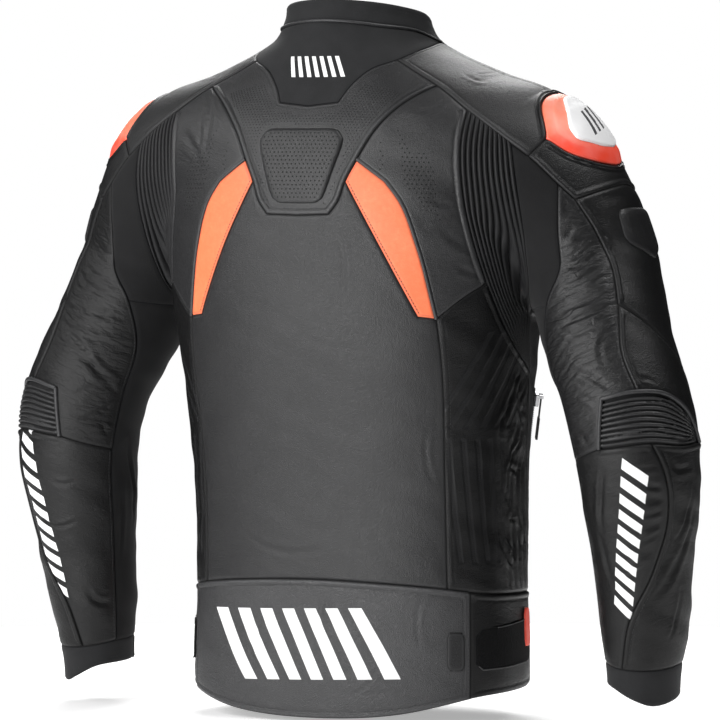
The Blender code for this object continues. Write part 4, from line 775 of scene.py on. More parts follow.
def hex_grid(flat: Numbers, step: float, squeeze: tuple[float, float] = (1.0, 1.0)) -> Numbers:
    """Staggered rows of places that cover a flat outline, closer along one way if squeezed."""
    low, spans = flat.min(axis=0), np.ptp(flat, axis=0)
    over, up = step * squeeze[0], step * squeeze[1]
    rows = np.arange(0, spans[1] + up, up * 0.866)
    columns = np.arange(0, spans[0] + over, over)
    grid = [np.column_stack([columns + (k % 2) * over / 2.0, np.full(len(columns), y)])
            for k, y in enumerate(rows)]
    return np.concatenate(grid) + low


def filling(flat: Numbers, step: float, clear: float, squeeze: tuple[float, float] = (1.0, 1.0)) -> Numbers:
    """Staggered places inside a closed flat outline, clear of its edge by a distance."""
    grid = hex_grid(flat, step, squeeze)
    grid = grid[inside(flat, grid)]
    return grid[nearest_on(flat, grid).gap > clear] if len(grid) else grid


def triangulated(ring: Numbers, others: Numbers) -> Numbers:
    """Triangles between a closed flat outline and the flat places inside it."""
    places = np.concatenate([ring, others])
    order = list(range(len(ring)))
    order = order if signed_area(ring) > 0.0 else order[::-1]
    found = delaunay_2d_cdt([Vector(p) for p in places], [], [order], 1, 1e-7, True)
    names = [given[0] for given in found[3]]
    triangles = np.array([[names[corner] for corner in face] for face in found[2]])
    return triangles[inside(ring, places[triangles].mean(axis=1))]


def mean_value_links(flat: Numbers, triangles: Numbers) -> tuple[Numbers, Numbers, Numbers]:
    """Links between neighbours that keep a flat layout: from, to and weight."""
    here_all, there_all, weight_all = [], [], []
    for turn in range(3):
        here, there, other = (triangles[:, (turn + k) % 3] for k in range(3))
        first, second = flat[there] - flat[here], flat[other] - flat[here]
        long_first = np.maximum(np.hypot(*first.T), 1e-9)
        long_second = np.maximum(np.hypot(*second.T), 1e-9)
        cosine = (first * second).sum(axis=1) / (long_first * long_second)
        half_angle = np.tan(np.arccos(np.clip(cosine, -0.9999, 1.0)) / 2.0)
        here_all += [here, here]
        there_all += [there, other]
        weight_all += [half_angle / long_first, half_angle / long_second]
    here, weight = np.concatenate(here_all), np.concatenate(weight_all)
    total = np.bincount(here, weight, len(flat))
    return here, np.concatenate(there_all), weight / np.maximum(total[here], 1e-12)


def relaxed(points: Numbers, fixed: int, flat: Numbers, triangles: Numbers, rounds: int) -> Numbers:
    """Points moved to hang evenly between their neighbours, apart from the first ones."""
    here, there, weight = mean_value_links(flat, triangles)
    for _ in range(rounds):
        moved = np.column_stack([np.bincount(here, weight * points[there, k], len(points))
                                 for k in range(3)])
        points = np.concatenate([points[:fixed], moved[fixed:]])
    return points


def coarse_cloth(ring: Numbers, flat: Numbers) -> tuple[Numbers, Numbers, Numbers]:
    """A closed outline filled with wide triangles that lie on the form.

    Args:
        ring: the outline's points.
        flat: their places on the panel's chart.

    Returns:
        The cloth's points, their flat places, and its triangles.
    """
    grid = filling(flat, CLOTH_STEP, CLOTH_STEP * 0.6)
    places = np.concatenate([flat, grid])
    triangles = triangulated(flat, grid)
    fixed, count = len(ring), len(places)
    if count == fixed:
        return ring, places, triangles
    here, there, weight = mean_value_links(places, triangles)
    links = np.zeros((count, count))
    np.add.at(links, (here, there), weight)
    links = links[fixed:] / links[fixed:].sum(axis=1, keepdims=True)
    free = np.eye(count - fixed) - links[:, fixed:]
    points = np.concatenate([ring, np.linalg.solve(free, links[:, :fixed] @ ring)])
    for _ in range(4):
        points[fixed:] = FORM.snap(points[fixed:], 3, 0.7)
        points[fixed:] = links @ points
    points[fixed:] = FORM.snap(points[fixed:], 6)
    return points, places, triangles


def lifted(coarse: tuple[Numbers, Numbers, Numbers], places: Numbers) -> Numbers:
    """Flat places carried to three dimensions by the wide triangles under them."""
    points, flat, triangles = coarse
    first = flat[triangles[:, 0]]
    side, other = flat[triangles[:, 1]] - first, flat[triangles[:, 2]] - first
    size = side[:, 0] * other[:, 1] - side[:, 1] * other[:, 0]
    keep = np.abs(size) > 1e-9
    triangles, first, side, other, size = (a[keep] for a in (triangles, first, side, other, size))
    found = []
    for some in batches(places):
        gap = some[:, None, :] - first[None]
        b = (gap[..., 0] * other[:, 1] - gap[..., 1] * other[:, 0]) / size
        c = (gap[..., 1] * side[:, 0] - gap[..., 0] * side[:, 1]) / size
        best = np.minimum(np.minimum(b, c), 1.0 - b - c).argmax(axis=1)
        rows = np.arange(len(some))
        b, c = b[rows, best][:, None], c[rows, best][:, None]
        corners = points[triangles[best]]
        found.append(corners[:, 0] * (1.0 - b - c) + corners[:, 1] * b + corners[:, 2] * c)
    return np.concatenate(found)


def drawn_in(outline: Numbers, normals: Numbers, clockwise: bool, much: float) -> Numbers:
    """A closed outline drawn in by a distance measured on the form."""
    if clockwise:
        normals = -normals
    ahead = unit(np.roll(outline, -1, axis=0) - outline)
    before = unit(np.cross(normals, np.roll(ahead, 1, axis=0)))
    after = unit(np.cross(normals, ahead))
    share = 1.0 + (before * after).sum(axis=1, keepdims=True)
    return outline + (before + after) / np.maximum(share, 0.3) * much


class Edge(Enum):
    """How a panel's edge is finished along a seam."""

    TUCKED = 0
    WELTED = 1
    TOPSTITCHED = 2
    DOUBLE = 3
    HEMMED = 4
    RIMMED = 5
    FLAT = 6


# The edges that more than roll down into their seam: each finish's panels and their seams.
EDGES: dict[tuple[str, str], Edge] = {(seam, panel): edge for edge, panels in {
    Edge.WELTED: {"shoulder_panel": "shoulder", "shoulder_drop": "shoulder drop",
        "yoke": "yoke_side yoke_bottom", "blade_panel": "rib_inner", "flank_panel": "rib_inner",
        "sleeve_top": "arm", "sleeve_side": "arm", "forearm_back": "elbow_low",
        "forearm_side": "elbow_low forearm", "lower_back_pad": "belt", "hem_gusset": "belt",
        "front_band": "belt", "front_panel": "chest"},
    Edge.TOPSTITCHED: {"yoke": "patch_edge patch_bottom", "shoulder_panel": "patch_edge",
        "back_wedge": "wedge_inner", "blade_panel": "blade_low",
        "shoulder_drop": "slider_tail_rear slider_tail_front", "sleeve_back": "inner",
        "forearm_back": "inner", "sleeve_side": "cross front", "front_panel": "side armhole zip_edge",
        "sleeve_top": "front", "forearm_side": "front", "front_band": "zip_edge"},
    Edge.DOUBLE: {"flank_panel": "princess", "lower_back_pad": "pad_side"},
    Edge.HEMMED: {"lower_back_pad": "hem", "hem_gusset": "hem", "front_band": "hem", "cuff": "cuff_edge",
        "collar_band": "rim"},
    Edge.RIMMED: {"shoulder_panel": "slider_neck", "shoulder_drop": "slider_drop"},
    Edge.FLAT: {"front_zip": "zip_foot"},
}.items() for panel, seams in panels.items() for seam in seams.split()}

# Where each finish has its rows of stitches, in metres in from the seam.
STITCH_ROWS: dict[Edge, tuple[float, ...]] = {
    Edge.WELTED: (0.0064,), Edge.TOPSTITCHED: (0.0030,), Edge.DOUBLE: (0.0024, 0.0066),
    Edge.HEMMED: (0.0062,),
}


# The grooves (negative) and ridges beside a seam: height, middle and half width in millimetres.
RELIEFS: dict[Edge, tuple[tuple[float, float, float], ...]] = {
    Edge.TUCKED: ((-1.0, 0.0, 1.7),),
    Edge.WELTED: ((-1.1, 0.0, 0.9), (-0.45, 6.4, 0.9)),
    Edge.TOPSTITCHED: ((-1.0, 0.0, 1.1), (-0.35, 3.0, 0.8), (0.25, 1.7, 0.8)),
    Edge.DOUBLE: ((-1.0, 0.0, 1.0), (-0.4, 2.4, 0.7), (-0.4, 6.6, 0.8), (0.35, 4.5, 1.4)),
    Edge.HEMMED: ((-1.3, 0.0, 1.2), (-0.45, 6.2, 0.9), (0.15, 3.5, 1.8)),
    Edge.RIMMED: ((-1.2, 0.0, 0.8), (1.5, 2.1, 1.1), (-0.5, 4.2, 0.7), (1.1, 6.0, 1.0), (-0.3, 8.0, 0.9)),
    Edge.FLAT: ((-0.2, 0.0, 0.6),),
}


def edge_relief(style: Edge, gap: Numbers) -> Numbers:
    """How far a panel's surface stands out near a seam.

    Args:
        style: how the edge is finished.
        gap: distances from the seam, in metres.

    Returns:
        Heights in metres.
    """
    mm = gap * 1000.0
    height = np.zeros(len(mm))
    if style is Edge.WELTED:
        height = 0.95 * np.sqrt(np.clip(1.0 - ((mm - 3.1) / 2.9) ** 2, 0.0, 1.0))
    for rise, middle, half_width in RELIEFS[style]:
        height = height + rise * np.exp(-((mm - middle) / half_width) ** 2)
    return height / 1000.0


@dataclass
class Cut:
    """A panel's cloth lying on the form, before its surface is worked."""

    points: Numbers
    normals: Numbers
    triangles: Numbers
    flat: Numbers
    seam: Numbers
    styles: list[Edge]
    style: Numbers
    rim: int
    inner_points: Numbers
    inner_normals: Numbers
    inner_triangles: Numbers
    chart: Callable[[Numbers], Numbers]

    def area(self) -> float:
        """The cut's area in square metres."""
        corners = self.points[self.triangles]
        faces = np.cross(corners[:, 1] - corners[:, 0], corners[:, 2] - corners[:, 0])
        return 0.5 * float(np.linalg.norm(faces, axis=1).sum())

    def blank(self, across: bool = False) -> tuple[float, float]:
        """The smallest rectangle that the cut comes out of.

        Args:
            across: whether the longer side is the width, where a quarter turn serves as well.

        Returns:
            Its width and length.
        """
        share = math.sqrt(self.area() / abs(signed_area(self.flat[:self.rim])))
        blanks = []
        for turn in np.linspace(0.0, math.pi / 2.0, 31):
            way = np.array([math.cos(turn), math.sin(turn)])
            over = np.ptp(self.flat[:self.rim] @ way) * share
            up = np.ptp(self.flat[:self.rim] @ np.array([-way[1], way[0]])) * share
            blanks.append((round(over * up, 12), -over if across else over, over, up))
        return min(blanks)[2:]


def facing_out(points: Numbers, normals: Numbers, triangles: Numbers) -> Numbers:
    """Triangles turned to face outwards, without those that lie back to front."""
    corners = points[triangles]
    faces = np.cross(corners[:, 1] - corners[:, 0], corners[:, 2] - corners[:, 0])
    facing = (faces * normals[triangles].sum(axis=1)).sum(axis=1)
    if facing.sum() < 0.0:
        triangles, facing = triangles[:, ::-1], -facing
    return triangles[facing > 0.0]


def cut_out(ring: Numbers, coarse_ring: Numbers, chart_name: str, styles: list[Edge],
            style: Numbers, step: float = FINE_STEP, squeeze: tuple[float, float] = (1.0, 1.0),
            offsets: tuple[float, ...] = LEATHER_ROWS) -> Cut:
    """Fill a closed outline with fine cloth that follows the form, with close rows at its edge.

    Args:
        ring: the outline's points, on the form.
        coarse_ring: the same outline with far fewer points.
        chart_name: which flat chart the cloth is cut on.
        styles: the finishes of the outline's runs.
        style: which of them each outline point has.
        step: how far apart the points inside are.
        squeeze: how much closer they are along each way of the chart.
        offsets: how far in from the edge the close rows run.

    Returns:
        The cut cloth.
    """
    chart = CHARTS[chart_name](ring)
    flat = chart(ring)
    coarse = coarse_cloth(coarse_ring, chart(coarse_ring))
    clockwise = signed_area(flat) < 0.0
    way = unit(np.roll(flat, -1, axis=0) - np.roll(flat, 1, axis=0))
    inward = np.column_stack([-way[:, 1], way[:, 0]]) * (-1.0 if clockwise else 1.0)
    rows = []
    for offset in offsets:
        row = flat + inward * offset
        gap = nearest_on(flat, row).gap
        rows.append(row[inside(flat, row) & (gap > 0.85 * offset)])
    within = np.concatenate(rows + [filling(flat, step, max(offsets) + step * 0.55, squeeze)])
    triangles = triangulated(flat, within)
    places = np.concatenate([flat, within])
    points = np.concatenate([ring, lifted(coarse, within)])
    for rounds, snaps in ((24, 3), (6, 2)):
        points = relaxed(points, len(ring), places, triangles, rounds)
        points[len(ring):] = FORM.snap(points[len(ring):], snaps)
    normals = FORM.normal(points)
    points[:len(ring)] = drawn_in(ring, normals[:len(ring)], clockwise, SEAM_GAP / 2.0)
    triangles = facing_out(points, normals, triangles)
    near = nearest_on(flat, places)
    ahead = np.roll(ring, -1, axis=0)
    on_seam = ring[near.stretch] * (1.0 - near.part[:, None]) + ahead[near.stretch] * near.part[:, None]
    seam = np.linalg.norm(points - on_seam, axis=1)
    seam[:len(ring)] = 0.0
    inner = filling(flat, INNER_STEP, INNER_STEP * 0.45)
    inner_points, inner_triangles = ring, triangulated(flat, inner)
    if len(inner):
        inner_points = np.concatenate([ring, lifted(coarse, inner)])
        inner_points = relaxed(inner_points, len(ring), np.concatenate([flat, inner]), inner_triangles, 12)
        inner_points[len(ring):] = FORM.snap(inner_points[len(ring):], 4)
        inner_points[:len(ring)] = ring
    inner_normals = FORM.normal(inner_points)
    inner_triangles = facing_out(inner_points, inner_normals, inner_triangles)
    return Cut(points, normals, triangles, places, seam, styles, style[near.stretch], len(ring),
               inner_points, inner_normals, inner_triangles, chart)


def crease_line(crease: tuple[float, ...], chart_name: str) -> Numbers:
    """A crease's points on the +X side of the form."""
    part = np.linspace(0.0, 1.0, 15)[:, None]
    units = (1000.0, 1.0) if chart_name == "sleeve" else (1.0, 1000.0)
    start, middle, end = np.array(crease[:6]).reshape(3, 2) / units
    control = 2.0 * middle - (start + end) / 2.0
    places = (1 - part) ** 2 * start + 2 * part * (1 - part) * control + part ** 2 * end
    if chart_name == "sleeve":
        return FORM.snap(FORM.sleeve_points(places[:, 0], np.radians(places[:, 1])))
    return FORM.body_points(np.radians(places[:, 0]), places[:, 1])


def crease_relief(cut: Cut, rows: tuple[tuple[float, ...], ...],
                  chart_name: str) -> tuple[Numbers, Numbers]:
    """The folds of a panel.

    Args:
        cut: the panel's cloth, on the +X side or across the middle.
        rows: its creases.
        chart_name: "sleeve" where their places are on the sleeve.

    Returns:
        Each point's height, and how much folding has rubbed the cloth there, which also sets the painted
        shade in its furrows, from 0 to 1.
    """
    height, worn = np.zeros(len(cut.points)), np.zeros(len(cut.points))
    for crease in rows:
        line, width, depth = crease_line(crease, chart_name), crease[6] / 1000.0, crease[7]
        low, high = line.min(axis=0) - 9.0 * width, line.max(axis=0) + 9.0 * width
        near = ((cut.points > low) & (cut.points < high)).all(axis=1)
        if not near.any():
            continue
        points, way = cut.points[near], np.diff(line, axis=0)
        gap = points[:, None, :] - line[None, :-1]
        part = np.clip((gap * way).sum(axis=2) / ((way ** 2).sum(axis=1) + 1e-12), 0.0, 1.0)
        rest = gap - part[..., None] * way
        far = np.linalg.norm(rest, axis=2)
        best = far.argmin(axis=1)
        rows_of = np.arange(len(points))
        far, rest = far[rows_of, best], rest[rows_of, best]
        along = (best + part[rows_of, best]) / (len(line) - 1)
        side = np.sign((np.cross(way[best], rest) * cut.normals[near]).sum(axis=1))
        x = side * far / width
        taper = np.sin(math.pi * np.clip(along, 0.03, 0.97)) ** 0.7
        fold = -np.exp(-x ** 2) + 0.85 * np.exp(-((x - 1.7) / 1.1) ** 2) \
            + 0.35 * np.exp(-((x + 2.0) / 1.3) ** 2)
        height[near] += CREASE_DEPTH * depth * taper * fold
        worn[near] = np.maximum(worn[near], taper * np.exp(-(x / 4.5) ** 2))
    return DEEPEST * np.tanh(height / DEEPEST), worn


WAVES = ((41.0, 17.0, 29.0, 0.3), (-23.0, 37.0, 47.0, 1.9), (61.0, -31.0, 83.0, 4.1),
         (19.0, 71.0, -143.0, 2.6), (-67.0, -29.0, 159.0, 5.2), (97.0, 43.0, -231.0, 0.9))


def soft_waves(points: Numbers, depth: float) -> Numbers:
    """The slight, uneven swell of cloth that nothing holds flat."""
    total = np.zeros(len(points))
    for k, wave in enumerate(WAVES):
        lean = 0.6 * np.sin(points @ np.array((37.0, -23.0, 19.0)) * (1.0 + 0.3 * k))
        total += np.sin(points @ np.array(wave[:3]) + wave[3] + lean) / (1.0 + 0.35 * k)
    return total * depth / 2.5


# The packs of fine creases: pitch and height in metres, where they start, and how often they come.
GATHERS = ((0.0095, 0.00105, 0.4, 58.0), (0.0060, 0.00050, 2.1, 83.0), (0.0175, 0.00095, 4.4, 41.0))


def gathers(flat: Numbers, side: int) -> Numbers:
    """Packs of fine creases that run round a sleeve, rising outwards above the elbow.

    Args:
        flat: places on the sleeve's chart.
        side: which sleeve, so that the two differ.

    Returns:
        Heights in metres.
    """
    along, aside = flat[:, 0], flat[:, 1] - 0.065
    climb = np.interp(along, (0.24, 0.40, 0.46), (0.52, 0.05, -0.25))
    level = along - climb * aside + 0.0042 * np.sin(38.0 * aside + 21.0 * along + 1.3 + 2.0 * side) \
        + 0.0017 * np.sin(95.0 * aside - 43.0 * along + 0.7) + 0.0007 * np.sin(190.0 * aside + 61.0 * along)
    total = np.zeros(len(flat))
    for pitch, height, start, beat in GATHERS:
        drift = np.sin(along * beat * 0.7 + aside * 23.0 + start)
        fold = np.abs(np.sin(math.pi * level / pitch + start + 0.9 * drift)) ** 0.75
        there = eased(0.45 + 0.75 * np.sin(along * beat + aside * 17.0 + 2.0 * start + side))
        total += (fold - 0.6) * there * height
    return total


def side_folds(points: Numbers) -> Numbers:
    """The long wavy folds that hang down the jacket's sides under the arms."""
    turn = np.degrees(np.arctan2(np.abs(points[:, 0]), points[:, 1]))
    up = points[:, 2]
    there = eased((turn - 81.0) / 9.0) * eased((130.0 - turn) / 14.0) \
        * eased((up + 0.595) / 0.05) * eased((-0.365 - up) / 0.06)
    line = turn / 4.3 + 0.75 * np.sin(up * 27.0 + 0.6) + 0.28 * np.sin(up * 63.0 + 2.0)
    return 0.0024 * there * (np.abs(np.sin(math.pi * line)) ** 0.8 - 0.6)


def placed(name: str, data: bpy.types.ID) -> bpy.types.Object:
    """A new object with this mesh, light or camera, linked to the scene."""
    made = bpy.data.objects.new(name, data)
    bpy.context.scene.collection.objects.link(made)
    return made


def build_mesh(name: str, points: Numbers, triangles: Numbers, parts: Numbers, flat: Numbers,
               values: dict[str, Numbers]) -> bpy.types.Mesh:
    """A smooth-shaded mesh with a flat layout in metres and named numbers at its points.

    Args:
        name: the mesh's name.
        points: its points.
        triangles: its faces.
        parts: which material slot each face takes.
        flat: each point's place on the flat layout.
        values: numbers for each point, by name.

    Returns:
        The mesh.
    """
    mesh = bpy.data.meshes.new(name)
    mesh.vertices.add(len(points))
    mesh.vertices.foreach_set("co", points.astype(np.float32).ravel())
    mesh.loops.add(triangles.size)
    mesh.loops.foreach_set("vertex_index", triangles.astype(np.int32).ravel())
    mesh.polygons.add(len(triangles))
    mesh.polygons.foreach_set("loop_start", np.arange(0, triangles.size, 3, dtype=np.int32))
    mesh.polygons.foreach_set("material_index", parts.astype(np.int32))
    layer = mesh.uv_layers.new(name="flat")
    layer.data.foreach_set("uv", flat[triangles.ravel()].astype(np.float32).ravel())
    for key, numbers in values.items():
        stored = mesh.attributes.new(key, "FLOAT", "POINT")
        stored.data.foreach_set("value", numbers.astype(np.float32))
    mesh.update(calc_edges=True)
    mesh.validate()
    mesh.shade_smooth()
    mesh.set_sharp_from_angle(angle=math.radians(62.0))
    return mesh


def walled(name: str, cut: Cut, height: Numbers, base: float, side: int,
           values: dict[str, Numbers], drop: float = 0.0) -> bpy.types.Object:
    """A closed wall of cloth: its worked outer face, its plain inner face and the edge between.

    Args:
        name: the piece's name.
        cut: the cloth, on the +X side or across the middle.
        height: how far each point of the outer face stands above the form.
        base: how far the inner face does.
        side: -1 to mirror the piece to the wearer's right.
        values: numbers for each point of the outer face, by name.
        drop: how much deeper the inner face lies away from the edge.

    Returns:
        The piece, linked to the scene.
    """
    outer = cut.points + cut.normals * height[:, None]
    inner = cut.inner_points + cut.inner_normals * base
    inner[cut.rim:] -= cut.inner_normals[cut.rim:] * drop
    count, rim = len(outer), cut.rim
    edges = np.concatenate([cut.triangles[:, pair] for pair in ([0, 1], [1, 2], [2, 0])])
    edges = edges[(edges < rim).all(axis=1)]
    steps = (edges[:, 1] - edges[:, 0]) % rim
    order = np.arange(rim)
    ahead = np.roll(order, -1)
    if (steps == rim - 1).sum() > (steps == 1).sum():
        order, ahead = ahead, order
    sides = np.concatenate([np.column_stack([ahead, order, count + order]),
                            np.column_stack([ahead, count + order, count + ahead])])
    under = cut.inner_triangles[:, ::-1] + count
    triangles = np.concatenate([cut.triangles, sides, under])
    parts = np.concatenate([np.zeros(len(cut.triangles)), np.zeros(len(sides)), np.ones(len(under))])
    points = np.concatenate([outer, inner])
    inner_flat = np.zeros((len(inner), 2))
    inner_flat[:rim] = cut.flat[:rim]
    flat = np.concatenate([cut.flat, inner_flat])
    if side < 0:
        points, triangles = mirrored(points), triangles[:, ::-1]
    full = {key: np.concatenate([numbers, np.zeros(len(inner))]) for key, numbers in values.items()}
    return placed(name, build_mesh(name, points, triangles, parts, flat, full))


class Nodes:
    """A tree of nodes that are added one at a time."""

    def __init__(self, tree: bpy.types.NodeTree) -> None:
        """Take the tree that is added to."""
        self.tree = tree

    def add(self, kind: str, settings: dict[str, object], inputs: dict[object, object],
            output: int | str = 0) -> bpy.types.NodeSocket:
        """Add a node.

        Args:
            kind: the node's type.
            settings: its own settings, set first.
            inputs: its sockets' values or links, by number, identifier or name.
            output: which of its outputs is wanted.

        Returns:
            That output.
        """
        made = self.tree.nodes.new(kind)
        for key, value in settings.items():
            setattr(made, key, value)
        by_identifier = {socket.identifier: socket for socket in made.inputs}
        for key, value in inputs.items():
            self.plug(by_identifier[key] if key in by_identifier else made.inputs[key], value)
        return made.outputs[output]

    def plug(self, socket: bpy.types.NodeSocket, value: object) -> None:
        """Give a socket a link or a value."""
        if isinstance(value, Wire):
            value = value.socket
        if isinstance(value, bpy.types.NodeSocket):
            self.tree.links.new(value, socket)
        else:
            socket.default_value = value


@dataclass(frozen=True)
class Wire:
    """A shader socket that takes part in sums."""

    board: "Board"
    socket: bpy.types.NodeSocket

    def maths(self, operation: str, *others: "Wire | float") -> "Wire":
        """A Math node on this socket and others."""
        return self.board.node("ShaderNodeMath", {"operation": operation},
                               dict(enumerate((self, *others))))

    def __add__(self, other: "Wire | float") -> "Wire":
        """The sum."""
        return self.maths("ADD", other)

    __radd__ = __add__

    def __mul__(self, other: "Wire | float") -> "Wire":
        """The product."""
        return self.maths("MULTIPLY", other)

    __rmul__ = __mul__

    def __sub__(self, other: "Wire | float") -> "Wire":
        """The difference."""
        return self.maths("SUBTRACT", other)

    def __rsub__(self, other: float) -> "Wire":
        """A number less this."""
        return self.board.node("ShaderNodeMath", {"operation": "SUBTRACT"}, {0: other, 1: self})

    def absolute(self) -> "Wire":
        """This without its sign."""
        return self.maths("ABSOLUTE")

    def least(self, other: "Wire | float") -> "Wire":
        """The smaller of the two."""
        return self.maths("MINIMUM", other)

    def step(self, low: float, high: float) -> "Wire":
        """0 below low, 1 above high, and a soft rise between; high may be the lower one."""
        start, end, first, last = (low, high, 0.0, 1.0) if low < high else (high, low, 1.0, 0.0)
        return self.board.node("ShaderNodeMapRange", {"interpolation_type": "SMOOTHSTEP"},
                               {"Value": self, "From Min": start, "From Max": end,
                                "To Min": first, "To Max": last})


class Board(Nodes):
    """One material's nodes, and the few ways in which its finishes are put together."""

    def __init__(self, name: str) -> None:
        """Start a material with a Principled shader."""
        self.material = bpy.data.materials.new(name)
        self.material.use_nodes = True
        super().__init__(self.material.node_tree)
        self.shader = self.tree.nodes["Principled BSDF"]

    def node(self, kind: str, settings: dict[str, object], inputs: dict[object, object],
             output: int | str = 0) -> Wire:
        """Add a node as Nodes.add does, and take its output into sums."""
        return Wire(self, self.add(kind, settings, inputs, output))

    def object_place(self) -> Wire:
        """Where a point is on the jacket, in metres."""
        return self.node("ShaderNodeTexCoord", {}, {}, "Object")

    def flat_place(self) -> tuple[Wire, Wire]:
        """A point's place on its panel's flat layout, in metres."""
        return self.parts(self.node("ShaderNodeUVMap", {"uv_map": "flat"}, {}))[:2]

    def parts(self, place: Wire) -> tuple[Wire, Wire, Wire]:
        """A place's three numbers."""
        split = self.node("ShaderNodeSeparateXYZ", {}, {0: place})
        return split, Wire(self, split.socket.node.outputs[1]), Wire(self, split.socket.node.outputs[2])

    def number(self, name: str) -> Wire:
        """A number stored at the piece's points."""
        return self.node("ShaderNodeAttribute", {"attribute_name": name}, {}, "Fac")

    def noise(self, place: Wire, scale: float, detail: float = 2.0, rough: float = 0.5) -> Wire:
        """Cloudy noise from 0 to 1."""
        return self.node("ShaderNodeTexNoise", {}, {"Vector": place, "Scale": scale, "Detail": detail,
                                                    "Roughness": rough}, "Fac")

    def cells(self, place: Wire, scale: float, feature: str = "F1") -> Wire:
        """The distance from the middle, or the edge, of small uneven cells."""
        return self.node("ShaderNodeTexVoronoi", {"feature": feature},
                         {"Vector": place, "Scale": scale}, "Distance")

    def moved(self, place: Wire, by: Wire, much: float) -> Wire:
        """A place shifted by a cloud of noise."""
        shift = self.node("ShaderNodeVectorMath", {"operation": "SCALE"}, {0: by, "Scale": much})
        return self.node("ShaderNodeVectorMath", {"operation": "ADD"}, {0: place, 1: shift})

    def stretched(self, place: Wire, by: tuple[float, float, float]) -> Wire:
        """A place with each way multiplied."""
        return self.node("ShaderNodeVectorMath", {"operation": "MULTIPLY"}, {0: place, 1: by})

    def blend(self, share: Wire, first: object, second: object) -> Wire:
        """One colour over another."""
        return self.node("ShaderNodeMix", {"data_type": "RGBA"},
                         {"Factor_Float": share, "A_Color": first, "B_Color": second}, 2)

    def finish(self, colour: object, rough: object, height: Wire | None = None, **fixed: object) -> None:
        """Wire up the shader.

        Args:
            colour: its base colour.
            rough: its roughness.
            height: its surface's relief in metres.
            fixed: numbers for its other sockets, with _ for a space.
        """
        self.plug(self.shader.inputs["Base Color"], colour)
        self.plug(self.shader.inputs["Roughness"], rough)
        if height is not None:
            bump = self.node("ShaderNodeBump", {}, {"Strength": 1.0, "Distance": 1.0, "Height": height})
            self.plug(self.shader.inputs["Normal"], bump)
        for key, value in fixed.items():
            self.plug(self.shader.inputs[key.replace("_", " ")], value)


Colour = tuple[float, float, float, float]


@dataclass(frozen=True)
class Bars:
    """A row of plain slanted bars printed along a line of a panel's flat layout."""

    start: tuple[float, float]
    end: tuple[float, float]
    count: int
    width: float
    slant: float
    fill: float = 0.6
    colour: Colour = (0.86, 0.86, 0.86, 1.0)
    stand: float = 0.00005
    dull: float = -0.03
    blur: float = 0.0004

    def mask(self, board: Board) -> Wire:
        """Where the bars are, from 0 to 1."""
        across, up = board.flat_place()
        run = math.dist(self.start, self.end)
        way = ((self.end[0] - self.start[0]) / run, (self.end[1] - self.start[1]) / run)
        along = (across - self.start[0]) * way[0] + (up - self.start[1]) * way[1]
        aside = (up - self.start[1]) * way[0] - (across - self.start[0]) * way[1]
        pitch = run / self.count
        phase = (along + aside * self.slant) * (1.0 / pitch)
        part = phase.maths("FRACT")
        blur = self.blur / pitch
        bar = part.step(0.0, blur) * part.step(self.fill + blur, self.fill)
        edge = aside.absolute().step(self.width / 2.0 + self.blur, self.width / 2.0 - self.blur)
        ends = phase.step(-0.001, 0.001) * phase.step(self.count + 0.001, self.count - 0.001)
        return bar * edge * ends


class Finish:
    """What every finish has: a way to make its material."""

    def material(self, name: str) -> bpy.types.Material:
        """Make the finish's material, under a name."""
        board = Board(name)
        self.paint(board, board.object_place())
        return board.material

    def paint(self, board: Board, place: Wire) -> None:
        """Wire up the board's shader; each finish does it in its own way."""
        raise NotImplementedError


